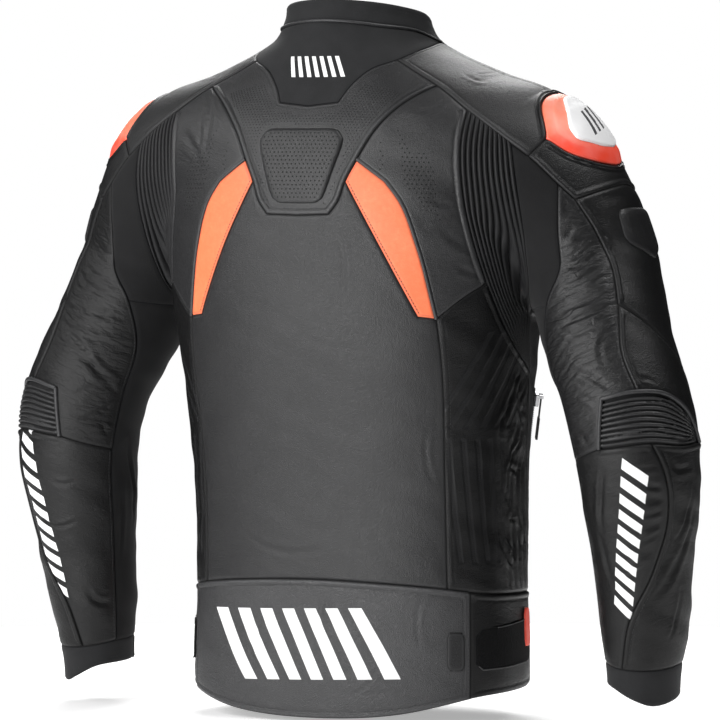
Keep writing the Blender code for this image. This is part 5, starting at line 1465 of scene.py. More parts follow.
@dataclass(frozen=True)
class Leather(Finish):
    """Grained cowhide with a soft sheen, finer wrinkles with painted shade in their furrows, painted shade in
    its seams and rib valleys, a painted highlight along its welts, and plain prints.
    """

    colour: Colour = (0.0098, 0.0098, 0.0104, 1.0)
    worn_colour: Colour = (0.0135, 0.0135, 0.0142, 1.0)
    # The panel's painted light and shade: its colours are scaled by it, and its specular level rises with it.
    tone: float = 1.0
    rough: float = 0.40
    grain: float = GRAIN
    prints: tuple[Bars, ...] = ()

    def toned(self, colour: Colour) -> Colour:
        """A colour made lighter or darker with the panel's painted light and shade."""
        return tuple(part * self.tone for part in colour[:3]) + (1.0,)

    def paint(self, board: Board, place: Wire) -> None:
        """Wire up the shader."""
        cloud, patch = board.noise(place, 30.0, 3.0), board.noise(place, 230.0, 2.0)
        pebble = board.cells(place, 640.0, "DISTANCE_TO_EDGE")
        pores = board.noise(place, 2400.0, 1.0)
        seam, worn = board.number("seam"), board.number("worn")
        across, deep, up = board.parts(place)
        lean = board.node("ShaderNodeCombineXYZ", {}, {0: across, 1: deep,
                                                       2: (up - across.absolute() * 0.38) * 3.6})
        drift = board.node("ShaderNodeTexNoise", {}, {"Vector": place, "Scale": 34.0}, "Color")
        bent = board.moved(lean, drift, 0.030)
        furrow = (board.noise(bent, 27.0, 2.0, 0.5) - 0.5).absolute().step(0.0, 0.12)
        crinkle = (board.noise(bent, 120.0, 2.0, 0.5) - 0.5).absolute().step(0.0, 0.15)
        height = pebble.least(0.30) * (self.grain * 3.2) + pores * (self.grain * 0.5) \
            + patch * (self.grain * 1.6) + furrow * (worn * 0.00045) \
            + crinkle * (worn * 0.00010 + 0.00003)
        tone = cloud * 0.35 + patch * 0.55 + worn * 0.25
        colour = board.blend(tone.step(0.3, 0.95), self.toned(self.colour), self.toned(self.worn_colour))
        # Painted shade: the furrows of the fine wrinkles are darkened where the leather creases.
        painted_shade_black = self.toned((0.003, 0.003, 0.0035, 1.0))
        colour = board.blend((1.0 - furrow) * worn * 0.22, colour, painted_shade_black)
        # Painted highlight that also stands for edge wear: a lighter line along the crest of each welt.
        welt_highlight_and_wear = seam.step(0.0010, 0.0022) * seam.step(0.0042, 0.0022)
        colour = board.blend(welt_highlight_and_wear * 0.30, colour, self.toned((0.040, 0.040, 0.042, 1.0)))
        # Painted shade in the seams' grooves and in the valleys between the elbow ribs.
        colour = board.blend(seam.step(0.0, 0.0015), painted_shade_black, colour)
        rough = patch * 0.06 + (self.rough - 0.03) + pebble.step(0.12, 0.0) * 0.12 \
            - welt_highlight_and_wear * 0.05 + seam.step(0.0014, 0.0002) * 0.35
        for bars in self.prints:
            mask = bars.mask(board)
            colour = board.blend(mask, colour, bars.colour)
            height = height + mask * bars.stand
            rough = rough + mask * bars.dull
        board.finish(colour, rough, height, Specular_IOR_Level=min(0.55, 0.26 + 0.16 * self.tone))


@dataclass(frozen=True)
class Knit(Finish):
    """Matt cloth with a fine weave and painted shade in its seams and rib valleys: stretch panels, the
    collar's cloth, tapes and the lining.
    """

    colour: Colour
    lit_colour: Colour
    rough: float
    threads: float
    depth: float
    prints: tuple[Bars, ...] = ()

    def paint(self, board: Board, place: Wire) -> None:
        """Wire up the shader."""
        cloud = board.noise(place, 55.0, 3.0)
        fuzz = board.noise(place, self.threads * 1.7, 2.0)
        weave = board.cells(board.stretched(place, (1.0, 1.0, 0.55)), self.threads)
        seam = board.number("seam")
        height = weave * self.depth + fuzz * (self.depth * 0.8)
        colour = board.blend((cloud * 0.5 + fuzz * 0.5).step(0.3, 0.75), self.colour, self.lit_colour)
        # Painted shade in the seams' grooves and in the valleys between the back ribs.
        colour = board.blend(seam.step(0.0, 0.0012), (0.003, 0.003, 0.004, 1.0), colour)
        for bars in self.prints:
            colour = board.blend(bars.mask(board), colour, bars.colour)
        rough = cloud * 0.08 + (self.rough - 0.04) + seam.step(0.0012, 0.0) * 0.3
        board.finish(colour, rough.least(1.0), height, Sheen_Weight=0.06, Sheen_Roughness=0.5,
                     Specular_IOR_Level=0.25)


@dataclass(frozen=True)
class Fuzz(Finish):
    """The hooks and loops of an adjuster strap."""

    colour: Colour = (0.0015, 0.0015, 0.0017, 1.0)
    lit_colour: Colour = (0.007, 0.007, 0.0075, 1.0)

    def paint(self, board: Board, place: Wire) -> None:
        """Wire up the shader."""
        tufts = board.noise(place, 700.0, 3.0, 0.7)
        loops = board.cells(place, 620.0)
        height = tufts * 0.0008 + loops * 0.0004
        colour = board.blend(tufts.step(0.35, 0.7), self.colour, self.lit_colour)
        board.finish(colour, 0.95, height, Sheen_Weight=0.05, Specular_IOR_Level=0.10)


@dataclass(frozen=True)
class Shell(Finish):
    """A moulded hard shell with a satin skin, fine scuffs along its edge, and painted shade towards its
    bottom and round its bevel.
    """

    colour: Colour
    edge_colour: Colour
    rough: float
    prints: tuple[Bars, ...] = ()

    def paint(self, board: Board, place: Wire) -> None:
        """Wire up the shader."""
        seam = board.number("seam")
        cloud = board.noise(place, 60.0, 2.0)
        skin = board.noise(place, 1900.0, 2.0)
        scuff = board.noise(board.stretched(place, (1.0, 1.0, 5.0)), 420.0, 3.0, 0.7)
        # Painted shade: darker and redder towards the bottom, and a little round the bevel.
        low = board.parts(place)[2].step(-0.060, -0.092)
        edge = (low + seam.step(0.0105, 0.0085) * 0.25).least(1.0)
        colour = board.blend(edge, self.colour, self.edge_colour)
        colour = board.blend(cloud.step(0.3, 0.9) * 0.10, colour, (1.0, 1.0, 1.0, 1.0))
        for bars in self.prints:
            colour = board.blend(bars.mask(board), colour, bars.colour)
        rough = self.rough + cloud * 0.08 + scuff.step(0.62, 0.75) * seam.step(0.006, 0.0) * 0.15
        board.finish(colour, rough, skin * 0.00002 + cloud * 0.0002, Coat_Weight=0.08,
                     Coat_Roughness=0.3)


@dataclass(frozen=True)
class Plain(Finish):
    """Small parts: thread, piping, rubber and metal, each with a little grain and wear."""

    colour: Colour
    lit_colour: Colour
    rough: float
    metal: float = 0.0
    grain: float = 1500.0
    depth: float = 0.00004

    def paint(self, board: Board, place: Wire) -> None:
        """Wire up the shader."""
        grit = board.noise(place, self.grain, 3.0, 0.6)
        cloud = board.noise(place, 240.0, 2.0)
        colour = board.blend((grit * 0.5 + cloud * 0.5).step(0.3, 0.75), self.colour, self.lit_colour)
        board.finish(colour, self.rough - 0.06 + cloud * 0.14, grit * self.depth, Metallic=self.metal)


WHITE = Shell((0.97, 0.97, 0.975, 1.0), (0.94, 0.94, 0.945, 1.0), 0.36)
KNITS = {
    Stuff.STRETCH: Knit((0.0028, 0.0028, 0.0032, 1.0), (0.0070, 0.0070, 0.0075, 1.0), 0.85, 1300.0, 0.00011),
    Stuff.NEOPRENE: Knit((0.009, 0.0093, 0.010, 1.0), (0.017, 0.0173, 0.0185, 1.0), 0.82, 1100.0, 0.00008),
    Stuff.TAPE: Knit((0.007, 0.007, 0.008, 1.0), (0.017, 0.017, 0.018, 1.0), 0.88, 900.0, 0.00013),
    Stuff.LINING: Knit((0.010, 0.010, 0.011, 1.0), (0.022, 0.022, 0.023, 1.0), 0.90, 420.0, 0.00030),
}


class Workshop:
    """Makes each finish once and hands it out."""

    def __init__(self) -> None:
        """Start with an empty shelf."""
        self.made: dict[str, bpy.types.Material] = {}

    def get(self, name: str, finish: Finish) -> bpy.types.Material:
        """The material of that name, made when it is first asked for."""
        if name not in self.made:
            self.made[name] = finish.material(name)
        return self.made[name]

    def of(self, stuff: Stuff) -> bpy.types.Material:
        """The plain finish of a stuff, without prints."""
        if stuff in KNITS:
            return self.get(stuff.name.lower(), KNITS[stuff])
        finishes = {
            Stuff.LEATHER: Leather(),
            Stuff.ORANGE_LEATHER: Leather((0.88, 0.170, 0.066, 1.0), (0.96, 0.240, 0.105, 1.0), 1.0, 0.5,
                                          0.00004),
            Stuff.ORANGE_SHELL: Shell((1.0, 0.235, 0.125, 1.0), (1.0, 0.075, 0.035, 1.0), 0.42),
            Stuff.WHITE_SHELL: WHITE,
            Stuff.HOOKS: Fuzz(),
        }
        return self.get(stuff.name.lower(), finishes[stuff])


WORKSHOP = Workshop()


def settle(piece: bpy.types.Object, body: str, nodes: tuple[str, ...] = ()) -> None:
    """Tell the frame what a piece rides on, and hide the parts that it stands for."""
    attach(piece, body)
    if nodes:
        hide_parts(*nodes)
    LOG.info("%s: %d triangles", piece.name, len(piece.data.polygons))


class Row(NamedTuple):
    """A line of trim on the jacket: its points and the way out of the cloth at each."""

    points: Numbers
    out: Numbers


def suffix(side: int) -> str:
    """How a piece's name ends on each side."""
    return {-1: "_right", 0: "", 1: "_left"}[side]


def to_side(row: Row, side: int) -> Row:
    """A row of trim on the side that is wanted."""
    return row if side > 0 else Row(mirrored(row.points), mirrored(row.out))


class Dress(NamedTuple):
    """How a panel's leather is: how crumpled, how light or dark its painted light and shade make it, how
    swollen, finely meshed, rough and grained.
    """

    crumple: float = 0.10
    tone: float = 1.0
    waves: float = 0.0004
    step: float = FINE_STEP
    rough: float = 0.40
    grain: float = 1.0


# The tones paint light and shade into one leather: each panel, and each sleeve's back on its own, is made
# lighter or darker for how the light falls on it.
DRESSES: dict[str, Dress] = {
    "sleeve_back": Dress(0.9, 0.75, 0.0012, 0.0017),
    "sleeve_back_left": Dress(0.45, 0.38, 0.0010, 0.0017, 0.46),
    "forearm_back": Dress(0.20, 0.36, 0.0013, 0.0020, 0.45),
    "forearm_side": Dress(0.20, 0.2, 0.0013, 0.0020, 0.47),
    "sleeve_top": Dress(0.10, 0.5, 0.0009, 0.0024), "sleeve_side": Dress(0.08, 0.46, 0.0008, 0.0022),
    "flank_panel": Dress(0.14, 0.30, 0.0008, 0.0020, 0.36), "blade_panel": Dress(0.15, 1.25, 0.0005, 0.0022),
    "lower_back_pad": Dress(0.14, 2.1, 0.0007, 0.0024, 0.37, 1.9), "cuff": Dress(0.08, 0.2, rough=0.56),
    "back_panel": Dress(0.05, 1.05, 0.0006, 0.0030, 0.40, 1.3), "yoke": Dress(0.05, 1.25, 0.0003, 0.0030),
    "shoulder_panel": Dress(0.14, 0.9, 0.0005, 0.0026, 0.47), "hem_gusset": Dress(0.20, 0.3, 0.0005, 0.0030),
    "shoulder_drop": Dress(0.12, 0.6, 0.0004, 0.0028), "elbow_ribs": Dress(0.10, 0.95, 0.0004, 0.0015),
    "front_panel": Dress(0.16, 1.0, 0.0008, 0.0032), "sleeve_inner": Dress(0.0, 1.0, 0.0012, 0.0026),
}


@dataclass
class PanelMaker:
    """Cuts a panel, works its surface, and notes the rows of stitches along its edges."""

    panel: Panel
    squeeze: tuple[float, float] = (1.0, 1.0)
    held: str = "hung"
    prints: dict[int, tuple[Bars, ...]] = None
    seam_step: float = SEAM_STEP

    def dress(self, side: int = 0) -> Dress:
        """How the panel's leather is on one side."""
        return DRESSES.get(self.panel.name + suffix(side), DRESSES.get(self.panel.name, Dress()))

    def middle(self) -> bool:
        """Whether the panel crosses the jacket's middle."""
        return self.panel in MIDDLE_PANELS

    def outline(self, spacing: float) -> tuple[Numbers, list[str]]:
        """The panel's closed outline on the +X side or across the middle, and its seams' names."""
        runs = [PATTERN.run(*run, spacing) for run in self.panel.loop]
        names = [run[0] for run, points in zip(self.panel.loop, runs) for _ in points]
        outline = np.concatenate(runs)
        if self.middle():
            last = PATTERN.places[self.panel.loop[-1][2]]
            outline = np.concatenate([outline, last[None], mirrored(outline[1:][::-1])])
            names = names + names[::-1]
        return outline, names

    def cut(self) -> Cut:
        """Cut the panel's cloth."""
        ring, names = self.outline(self.seam_step)
        coarse, _ = self.outline(COARSE_STEP)
        styles = [EDGES.get((name, self.panel.name), Edge.TUCKED) for name in names]
        kinds = sorted(set(styles), key=lambda kind: kind.value)
        style = np.array([kinds.index(kind) for kind in styles])
        hide = self.panel.stuff in (Stuff.LEATHER, Stuff.ORANGE_LEATHER)
        offsets = LEATHER_ROWS if hide else CLOTH_ROWS
        return cut_out(ring, coarse, self.panel.chart, kinds, style, self.dress().step, self.squeeze, offsets)

    def stitch_rows(self) -> list[Row]:
        """The rows of stitches along the panel's edges, on the +X side or across the middle."""
        ring, names = self.outline(SEAM_STEP)
        chart = CHARTS[self.panel.chart](ring)
        normals = FORM.normal(ring)
        clockwise = signed_area(chart(ring)) < 0.0
        styles = [EDGES.get((name, self.panel.name), Edge.TUCKED) for name in names]
        rows = []
        for kind, offsets in STITCH_ROWS.items():
            chosen = np.array([style is kind for style in styles])
            if not chosen.any():
                continue
            for offset in offsets:
                row = drawn_in(ring, normals, clockwise, offset)
                gap = np.sqrt(((row[:, None, :] - ring[None]) ** 2).sum(axis=2).min(axis=1))
                good = chosen & (gap > offset * 0.9)
                rows += self.split(row, normals, good, offset, kind)
        return rows

    def split(self, row: Numbers, normals: Numbers, good: Numbers, offset: float, kind: Edge) -> list[Row]:
        """The stretches of a closed row that are wanted, laid on the panel's surface."""
        count = len(row)
        if good.all():
            order = [list(range(count)) + [0]]
        else:
            start = int(np.argmin(good))
            order, run = [], []
            for k in range(start, start + count + 1):
                if good[k % count] and k < start + count:
                    run.append(k % count)
                    continue
                if len(run) > 3:
                    order.append(run)
                run = []
        rise = self.panel.rise + float(edge_relief(kind, np.array([offset]))[0]) + TRIM_LIFT
        found = []
        for run in order:
            points = FORM.snap(row[run], 3)
            found.append(Row(points + normals[run] * rise, normals[run]))
        return found

    def calm(self, cut: Cut, rings: list[Numbers]) -> Numbers:
        """0 under the pieces that lie on the panel, 1 away from them."""
        share = np.ones(len(cut.points))
        for ring in rings:
            flat = cut.chart(np.concatenate([cut.points[:1], ring]))[1:]
            far = nearest_on(flat, cut.flat).gap
            far[inside(flat, cut.flat)] = 0.0
            share = np.minimum(share, eased(far / 0.010))
        return share

    def height(self, cut: Cut, side: int, share: Numbers) -> tuple[Numbers, Numbers]:
        """How far the surface stands above the form, and how much folding has rubbed it, which also sets the
        painted shade in its furrows.
        """
        free = eased(cut.seam / 0.012) * share
        height = np.full(len(cut.points), self.panel.rise)
        for index, kind in enumerate(cut.styles):
            chosen = cut.style == index
            height[chosen] += edge_relief(kind, cut.seam[chosen])
        sided = cut.points if side >= 0 else mirrored(cut.points)
        height += soft_waves(sided, self.dress(side).waves) * free
        rows = CREASES.get((self.panel.name, side), ())
        kind = "sleeve" if self.panel.chart == "sleeve" else "body"
        folds, worn = crease_relief(cut, rows, kind)
        crumple, clear = self.dress(side).crumple, eased((cut.seam - 0.003) / 0.010) * share
        if self.panel.chart == "sleeve" and crumple > 0.12:
            height += gathers(cut.flat, side) * clear * (crumple - 0.10)
        if self.panel.name in ("flank_panel", "front_panel"):
            height += side_folds(cut.points) * clear
        worn = np.clip(crumple + worn * (0.10 + 0.5 * crumple), 0.0, 1.0) * (0.3 + 0.7 * free)
        much = 1.0 if self.panel.chart == "sleeve" or self.panel.name == "flank_panel" else 0.5
        return height + folds * clear * much, worn

    def shade(self, cut: Cut) -> Numbers:
        """How far each point is from the nearest seam or valley, where the finish paints shade."""
        return cut.seam

    def material(self, side: int) -> bpy.types.Material:
        """The panel's finish, with its prints."""
        bars = (self.prints or {}).get(side, ())
        name, stuff = self.panel.name + suffix(side) + "_finish", self.panel.stuff
        if stuff is Stuff.LEATHER:
            dress = self.dress(side)
            kind = f"leather_{dress.tone * 100:.0f}_{dress.rough * 100:.0f}_{dress.grain * 10:.0f}"
            leather = Leather(tone=dress.tone, rough=dress.rough, grain=GRAIN * dress.grain, prints=bars)
            return WORKSHOP.get(name if bars else kind, leather)
        if bars:
            return WORKSHOP.get(name, replace(KNITS[stuff], prints=bars))
        return WORKSHOP.of(stuff)

    def build(self, side: int, cut: Cut, rings: list[Numbers]) -> bpy.types.Object:
        """Build the panel on one side.

        Args:
            side: -1 for the wearer's right, 1 for the left, 0 across the middle.
            cut: the panel's cloth.
            rings: the outlines of the pieces that lie on it.

        Returns:
            The finished piece, known to the frame.
        """
        name = self.panel.name + suffix(side)
        height, worn = self.height(cut, side, self.calm(cut, rings))
        base = self.panel.rise - self.panel.thickness
        values = {"seam": self.shade(cut), "worn": worn}
        drop = FRONT_LINING_DROP if self.panel.name == "front_panel" else 0.0
        piece = walled(name + "_piece", cut, height, base, side, values, drop)
        piece.data.materials.append(self.material(side))
        piece.data.materials.append(WORKSHOP.of(Stuff.LINING))
        settle(piece, "jacket", (name,))
        if self.held:
            width, length = cut.blank(self.panel.name in CUT_ACROSS)
            area = min(cut.area(), width * length)
        return piece


class Kind(Enum):
    """The named inputs of the trim trees, each with its socket's type."""

    PITCH = "Pitch", "NodeSocketFloat"
    SIZE = "Size", "NodeSocketVector"
    RADIUS = "Radius", "NodeSocketFloat"
    STUFF = "Material", "NodeSocketMaterial"


class TrimTree(Nodes):
    """A Geometry Nodes tree that lays trim on rows of points, which carry the way out of the cloth."""

    def __init__(self, name: str, *kinds: Kind) -> None:
        """Start the tree with its named inputs and its way out."""
        super().__init__(bpy.data.node_groups.new(name, "GeometryNodeTree"))
        shape = ("Geometry", "NodeSocketGeometry")
        for way, named in (("INPUT", [shape, *(kind.value for kind in kinds)]), ("OUTPUT", [shape])):
            for label, socket_type in named:
                self.tree.interface.new_socket(label, in_out=way, socket_type=socket_type)
        self.given = self.tree.nodes.new("NodeGroupInput").outputs
        self.out = self.tree.nodes.new("NodeGroupOutput").inputs[0]

    def asked(self, kind: Kind) -> bpy.types.NodeSocket:
        """One of the named inputs."""
        return self.given[kind.value[0]]

    def close(self, geometry: bpy.types.NodeSocket) -> bpy.types.NodeTree:
        """End the tree in Realize Instances and Set Material."""
        real = self.add("GeometryNodeRealizeInstances", {}, {0: geometry})
        dressed = self.add("GeometryNodeSetMaterial", {}, {"Geometry": real,
                                                           "Material": self.asked(Kind.STUFF)})
        self.tree.links.new(dressed, self.out)
        return self.tree

    def row_out(self) -> bpy.types.NodeSocket:
        """The way out of the cloth at each point."""
        return self.add("GeometryNodeInputNamedAttribute", {"data_type": "FLOAT_VECTOR"},
                        {"Name": "out"})


def row_tree(name: str, shape: str, sizes: dict[str, float]) -> bpy.types.NodeTree:
    """Small pieces laid on the cloth at an even pitch along rows, as stitches and zip teeth are.

    Args:
        name: the tree's name.
        shape: the type of the node that makes one piece.
        sizes: that node's inputs, for a piece one metre across.

    Returns:
        The tree.
    """
    make = TrimTree(name, Kind.PITCH, Kind.SIZE, Kind.STUFF)
    curve = make.add("GeometryNodeMeshToCurve", {}, {"Mesh": make.given[0]})
    curve = make.add("GeometryNodeResampleCurve", {"mode": "LENGTH"},
                     {"Curve": curve, "Length": make.asked(Kind.PITCH)})
    along = make.add("GeometryNodeInputTangent", {}, {})
    turn = make.add("FunctionNodeAxesToRotation", {"primary_axis": "Z", "secondary_axis": "X"},
                    {"Primary Axis": make.row_out(), "Secondary Axis": along})
    return make.close(make.add("GeometryNodeInstanceOnPoints", {},
                               {"Points": curve, "Instance": make.add(shape, {}, sizes),
                                "Rotation": turn, "Scale": make.asked(Kind.SIZE)}))


def piping_tree() -> bpy.types.NodeTree:
    """A round cord sewn along rows."""
    make = TrimTree("piping", Kind.RADIUS, Kind.STUFF)
    curve = make.add("GeometryNodeMeshToCurve", {}, {"Mesh": make.given[0]})
    ring = make.add("GeometryNodeCurvePrimitiveCircle", {}, {"Resolution": 10,
                                                            "Radius": make.asked(Kind.RADIUS)})
    return make.close(make.add("GeometryNodeCurveToMesh", {}, {"Curve": curve, "Profile Curve": ring,
                                                              "Fill Caps": True}))


def hole_tree() -> bpy.types.NodeTree:
    """Small dark discs that stand for the holes punched in the leather, painted with the shade in each hole.
    """
    make = TrimTree("perforations", Kind.RADIUS, Kind.STUFF)
    points = make.add("GeometryNodeMeshToPoints", {}, {"Mesh": make.given[0]})
    turn = make.add("FunctionNodeAlignRotationToVector", {"axis": "Z"}, {"Vector": make.row_out()})
    disc = make.add("GeometryNodeMeshCircle", {"fill_type": "NGON"},
                    {"Vertices": 6, "Radius": make.asked(Kind.RADIUS)})
    return make.close(make.add("GeometryNodeInstanceOnPoints", {},
                               {"Points": points, "Instance": disc, "Rotation": turn}))


def grown(name: str, rows: list[Row], tree: bpy.types.NodeTree, values: dict[Kind, object],
          loose: bool = False) -> bpy.types.Object:
    """Run a trim tree on rows of points and keep the result as a plain mesh.

    Args:
        name: the piece's name.
        rows: the rows, or groups of loose points.
        tree: the trim tree.
        values: the tree's inputs.
        loose: whether the points stand alone.

    Returns:
        The piece, linked to the scene.
    """
    points = np.concatenate([row.points for row in rows])
    out = np.concatenate([row.out for row in rows])
    edges, start = [], 0
    for row in rows:
        if not loose:
            edges += [(start + k, start + k + 1) for k in range(len(row.points) - 1)]
        start += len(row.points)
    source = bpy.data.meshes.new(name + "_rows")
    source.from_pydata(points.tolist(), edges, [])
    stored = source.attributes.new("out", "FLOAT_VECTOR", "POINT")
    stored.data.foreach_set("vector", out.astype(np.float32).ravel())
    carrier = placed(name + "_rows", source)
    modifier = carrier.modifiers.new("Trim", "NODES")
    modifier.node_group = tree
    sockets = {item.name: item.identifier for item in tree.interface.items_tree
               if item.in_out == "INPUT"}
    for kind, value in values.items():
        modifier[sockets[kind.value[0]]] = value
    evaluated = carrier.evaluated_get(bpy.context.evaluated_depsgraph_get())
    mesh = bpy.data.meshes.new_from_object(evaluated)
    mesh.name = name
    bpy.data.objects.remove(carrier)
    return placed(name, mesh)


@dataclass
class ElbowRibs(PanelMaker):
    """The ribbed leather across the back of the elbow, its ribs one above another."""

    count: int = 9
    stand: float = 0.0026
    frame: float = 0.0032

    def ribs(self, cut: Cut) -> Numbers:
        """0 in the valleys and in the gap beside the piping, 1 on top of the ribs."""
        along, around = FORM.sleeve_chart(cut.points)
        edges = []
        for seam, place in (("elbow_top", "elbow_inner"), ("elbow_low", "elbow_low_in")):
            down, turn = FORM.sleeve_chart(PATTERN.run(seam, place, "elbow_corner", SEAM_STEP, True))
            order = np.argsort(turn)
            edges.append(np.interp(around, turn[order], down[order]))
        span = np.maximum(edges[1] - edges[0], 0.004)
        up = (along - edges[0] - self.frame) / np.maximum(span - 1.3 * self.frame, 0.002)
        part = np.where((up > 0.0) & (up < 1.0), (up * self.count) % 1.0, 0.0)
        return np.sqrt(np.clip(1.0 - ((2.0 * part - 1.0) / 0.80) ** 2, 0.0, 1.0)) * eased(span / 0.028)

    def height(self, cut: Cut, side: int, share: Numbers) -> tuple[Numbers, Numbers]:
        """Round ribs with sharp valleys, which end short of the frame of piping."""
        ends = eased((cut.seam - 0.0006) / 0.0014)
        return self.stand * self.ribs(cut) * ends - 0.0018, np.full(len(cut.points), 0.1)

    def shade(self, cut: Cut) -> Numbers:
        """Painted shade in the valleys between the ribs and along the edge."""
        return np.minimum(cut.seam, self.ribs(cut) ** 1.6 * 0.0018)


@dataclass
class SliderShell(PanelMaker):
    """The hard shell on the shoulder: a broad bevel round a domed top."""

    bevel: float = 0.0100

    def height(self, cut: Cut, side: int, share: Numbers) -> tuple[Numbers, Numbers]:
        """A wall, a bevel that rises inwards, and the top."""
        near = np.clip(cut.seam / self.bevel, 0.0, 1.0)
        rise = 0.0008 * eased(cut.seam / 0.0009) + (SLIDER_RISE - 0.0012) * near
        dome = 0.0012 * eased((cut.seam - self.bevel) / 0.030)
        return -0.0002 + rise + dome, np.zeros(len(near))


@dataclass
class BackRibs:
    """The long ribbed stretch panel down the back of the armhole, from the shoulder to the side."""

    panel: Panel
    count: int = 10
    rows: int = 96
    laid: tuple[float, float] = (0.055, 0.26)
    length: float = 0.27
    samples: tuple[float, ...] = (0.0, 0.07, 0.14, 0.30, 0.5, 0.70, 0.86, 0.93)
    finish: Knit = Knit((0.005, 0.005, 0.0055, 1.0), (0.011, 0.011, 0.012, 1.0), 0.50, 1300.0, 0.00006)

    def lines(self) -> tuple[Numbers, Numbers, Numbers]:
        """The panel's inner edge, outer edge and top edge, on the +X side."""
        inner = PATTERN.run("rib_inner", "rib_top_in", "rib_tip", SEAM_STEP, True)
        outer = np.concatenate([PATTERN.run("rib_outer", "rib_top_out", "armpit", SEAM_STEP),
                                PATTERN.run("side", "armpit", "rib_tip", SEAM_STEP, True)])
        top = PATTERN.run("shoulder", "rib_top_in", "rib_top_out", SEAM_STEP, True)
        return inner, outer, top

    @staticmethod
    def spaced(line: Numbers, parts: Numbers) -> Numbers:
        """Points at these shares of a line's length."""
        run = run_along(line)
        return np.column_stack([np.interp(parts * run[-1], run, line[:, k]) for k in range(3)])

    def cut(self) -> Cut:
        """Lay a grid of cloth whose columns run along the ribs."""
        inner, outer, top = self.lines()
        across = np.concatenate([(rib + np.array(self.samples)) / self.count
                                 for rib in range(self.count)] + [[1.0]])
        down = np.linspace(0.0, 1.0, self.rows)[:-1]
        s, u = down[:, None, None], across[None, :, None]
        first, last = self.spaced(inner, down)[:, None], self.spaced(outer, down)[:, None]
        head = self.spaced(top, across)[None] - (1 - u) * inner[0] - u * outer[0]
        grid = (1 - u) * first + u * last + (1 - s) * head
        height, width = grid.shape[:2]
        points = np.concatenate([grid.reshape(-1, 3), inner[-1:]])
        number = np.arange(height * width).reshape(height, width)
        tip = height * width
        rim = np.concatenate([number[0], number[1:, -1], [tip], number[1:, 0][::-1]])
        quads = np.stack([number[:-1, :-1], number[1:, :-1], number[1:, 1:], number[:-1, 1:]], axis=-1)
        quads = quads.reshape(-1, 4)
        fan = np.column_stack([number[-1, :-1], np.full(width - 1, tip), number[-1, 1:]])
        triangles = np.concatenate([quads[:, [0, 1, 2]], quads[:, [0, 2, 3]], fan])
        rest = np.setdiff1d(np.arange(len(points)), rim)
        order = np.concatenate([rim, rest])
        place = np.empty(len(points), int)
        place[order] = np.arange(len(points))
        wide, long = self.laid
        flat = np.concatenate([np.stack(np.broadcast_arrays(u[..., 0] * wide, -s[..., 0] * long),
                                        axis=-1).reshape(-1, 2), [[0.0, -long]]])
        points[rest] = FORM.snap(points[rest], 4)
        normals = FORM.normal(points)
        triangles = facing_out(points, normals, triangles)
        spans = np.linalg.norm(first - last, axis=2)
        aside = np.minimum(across[None], 1.0 - across[None]) * spans
        seam = np.concatenate([np.minimum(aside, (down * self.length)[:, None]).ravel(), [0.0]])
        self.across, self.pitch, self.down = (
            np.concatenate([np.broadcast_to(numbers, (height, width)).ravel(), [at_tip]])[order]
            for numbers, at_tip in ((across, 0.0), (spans / self.count, 0.0), (down[:, None], 1.0)))
        triangles = place[triangles]
        zeros = np.zeros(len(points), int)
        return Cut(points[order], normals[order], triangles, flat[order], seam[order], [Edge.FLAT],
                   zeros, len(rim), points[order], normals[order], triangles, lambda p: p)

    def build(self, side: int, cut: Cut) -> bpy.types.Object:
        """Build the ribs on one side."""
        part = (self.across * self.count) % 1.0
        rib = np.sqrt(np.clip(1.0 - ((2.0 * part - 1.0) / 0.88) ** 2, 0.0, 1.0)) ** 0.85
        stand = np.minimum(0.0032, 0.55 * self.pitch)
        head = eased(self.down * self.length / 0.006)
        height = (rib - 1.0) * stand * (0.3 + 0.7 * head) + 0.0004 * head - 0.0001
        name = self.panel.name + suffix(side)
        # The seam numbers darken the valleys between the ribs with painted shade.
        piece = walled(name + "_piece", cut, height, -0.0042, side,
                       {"seam": rib ** 1.8 * 0.0016, "worn": np.zeros(len(part))})
        piece.data.materials.append(WORKSHOP.get("ribbed_stretch", self.finish))
        piece.data.materials.append(WORKSHOP.of(Stuff.LINING))
        settle(piece, "jacket", (name,))
        cut.area() * 1.08
        return piece


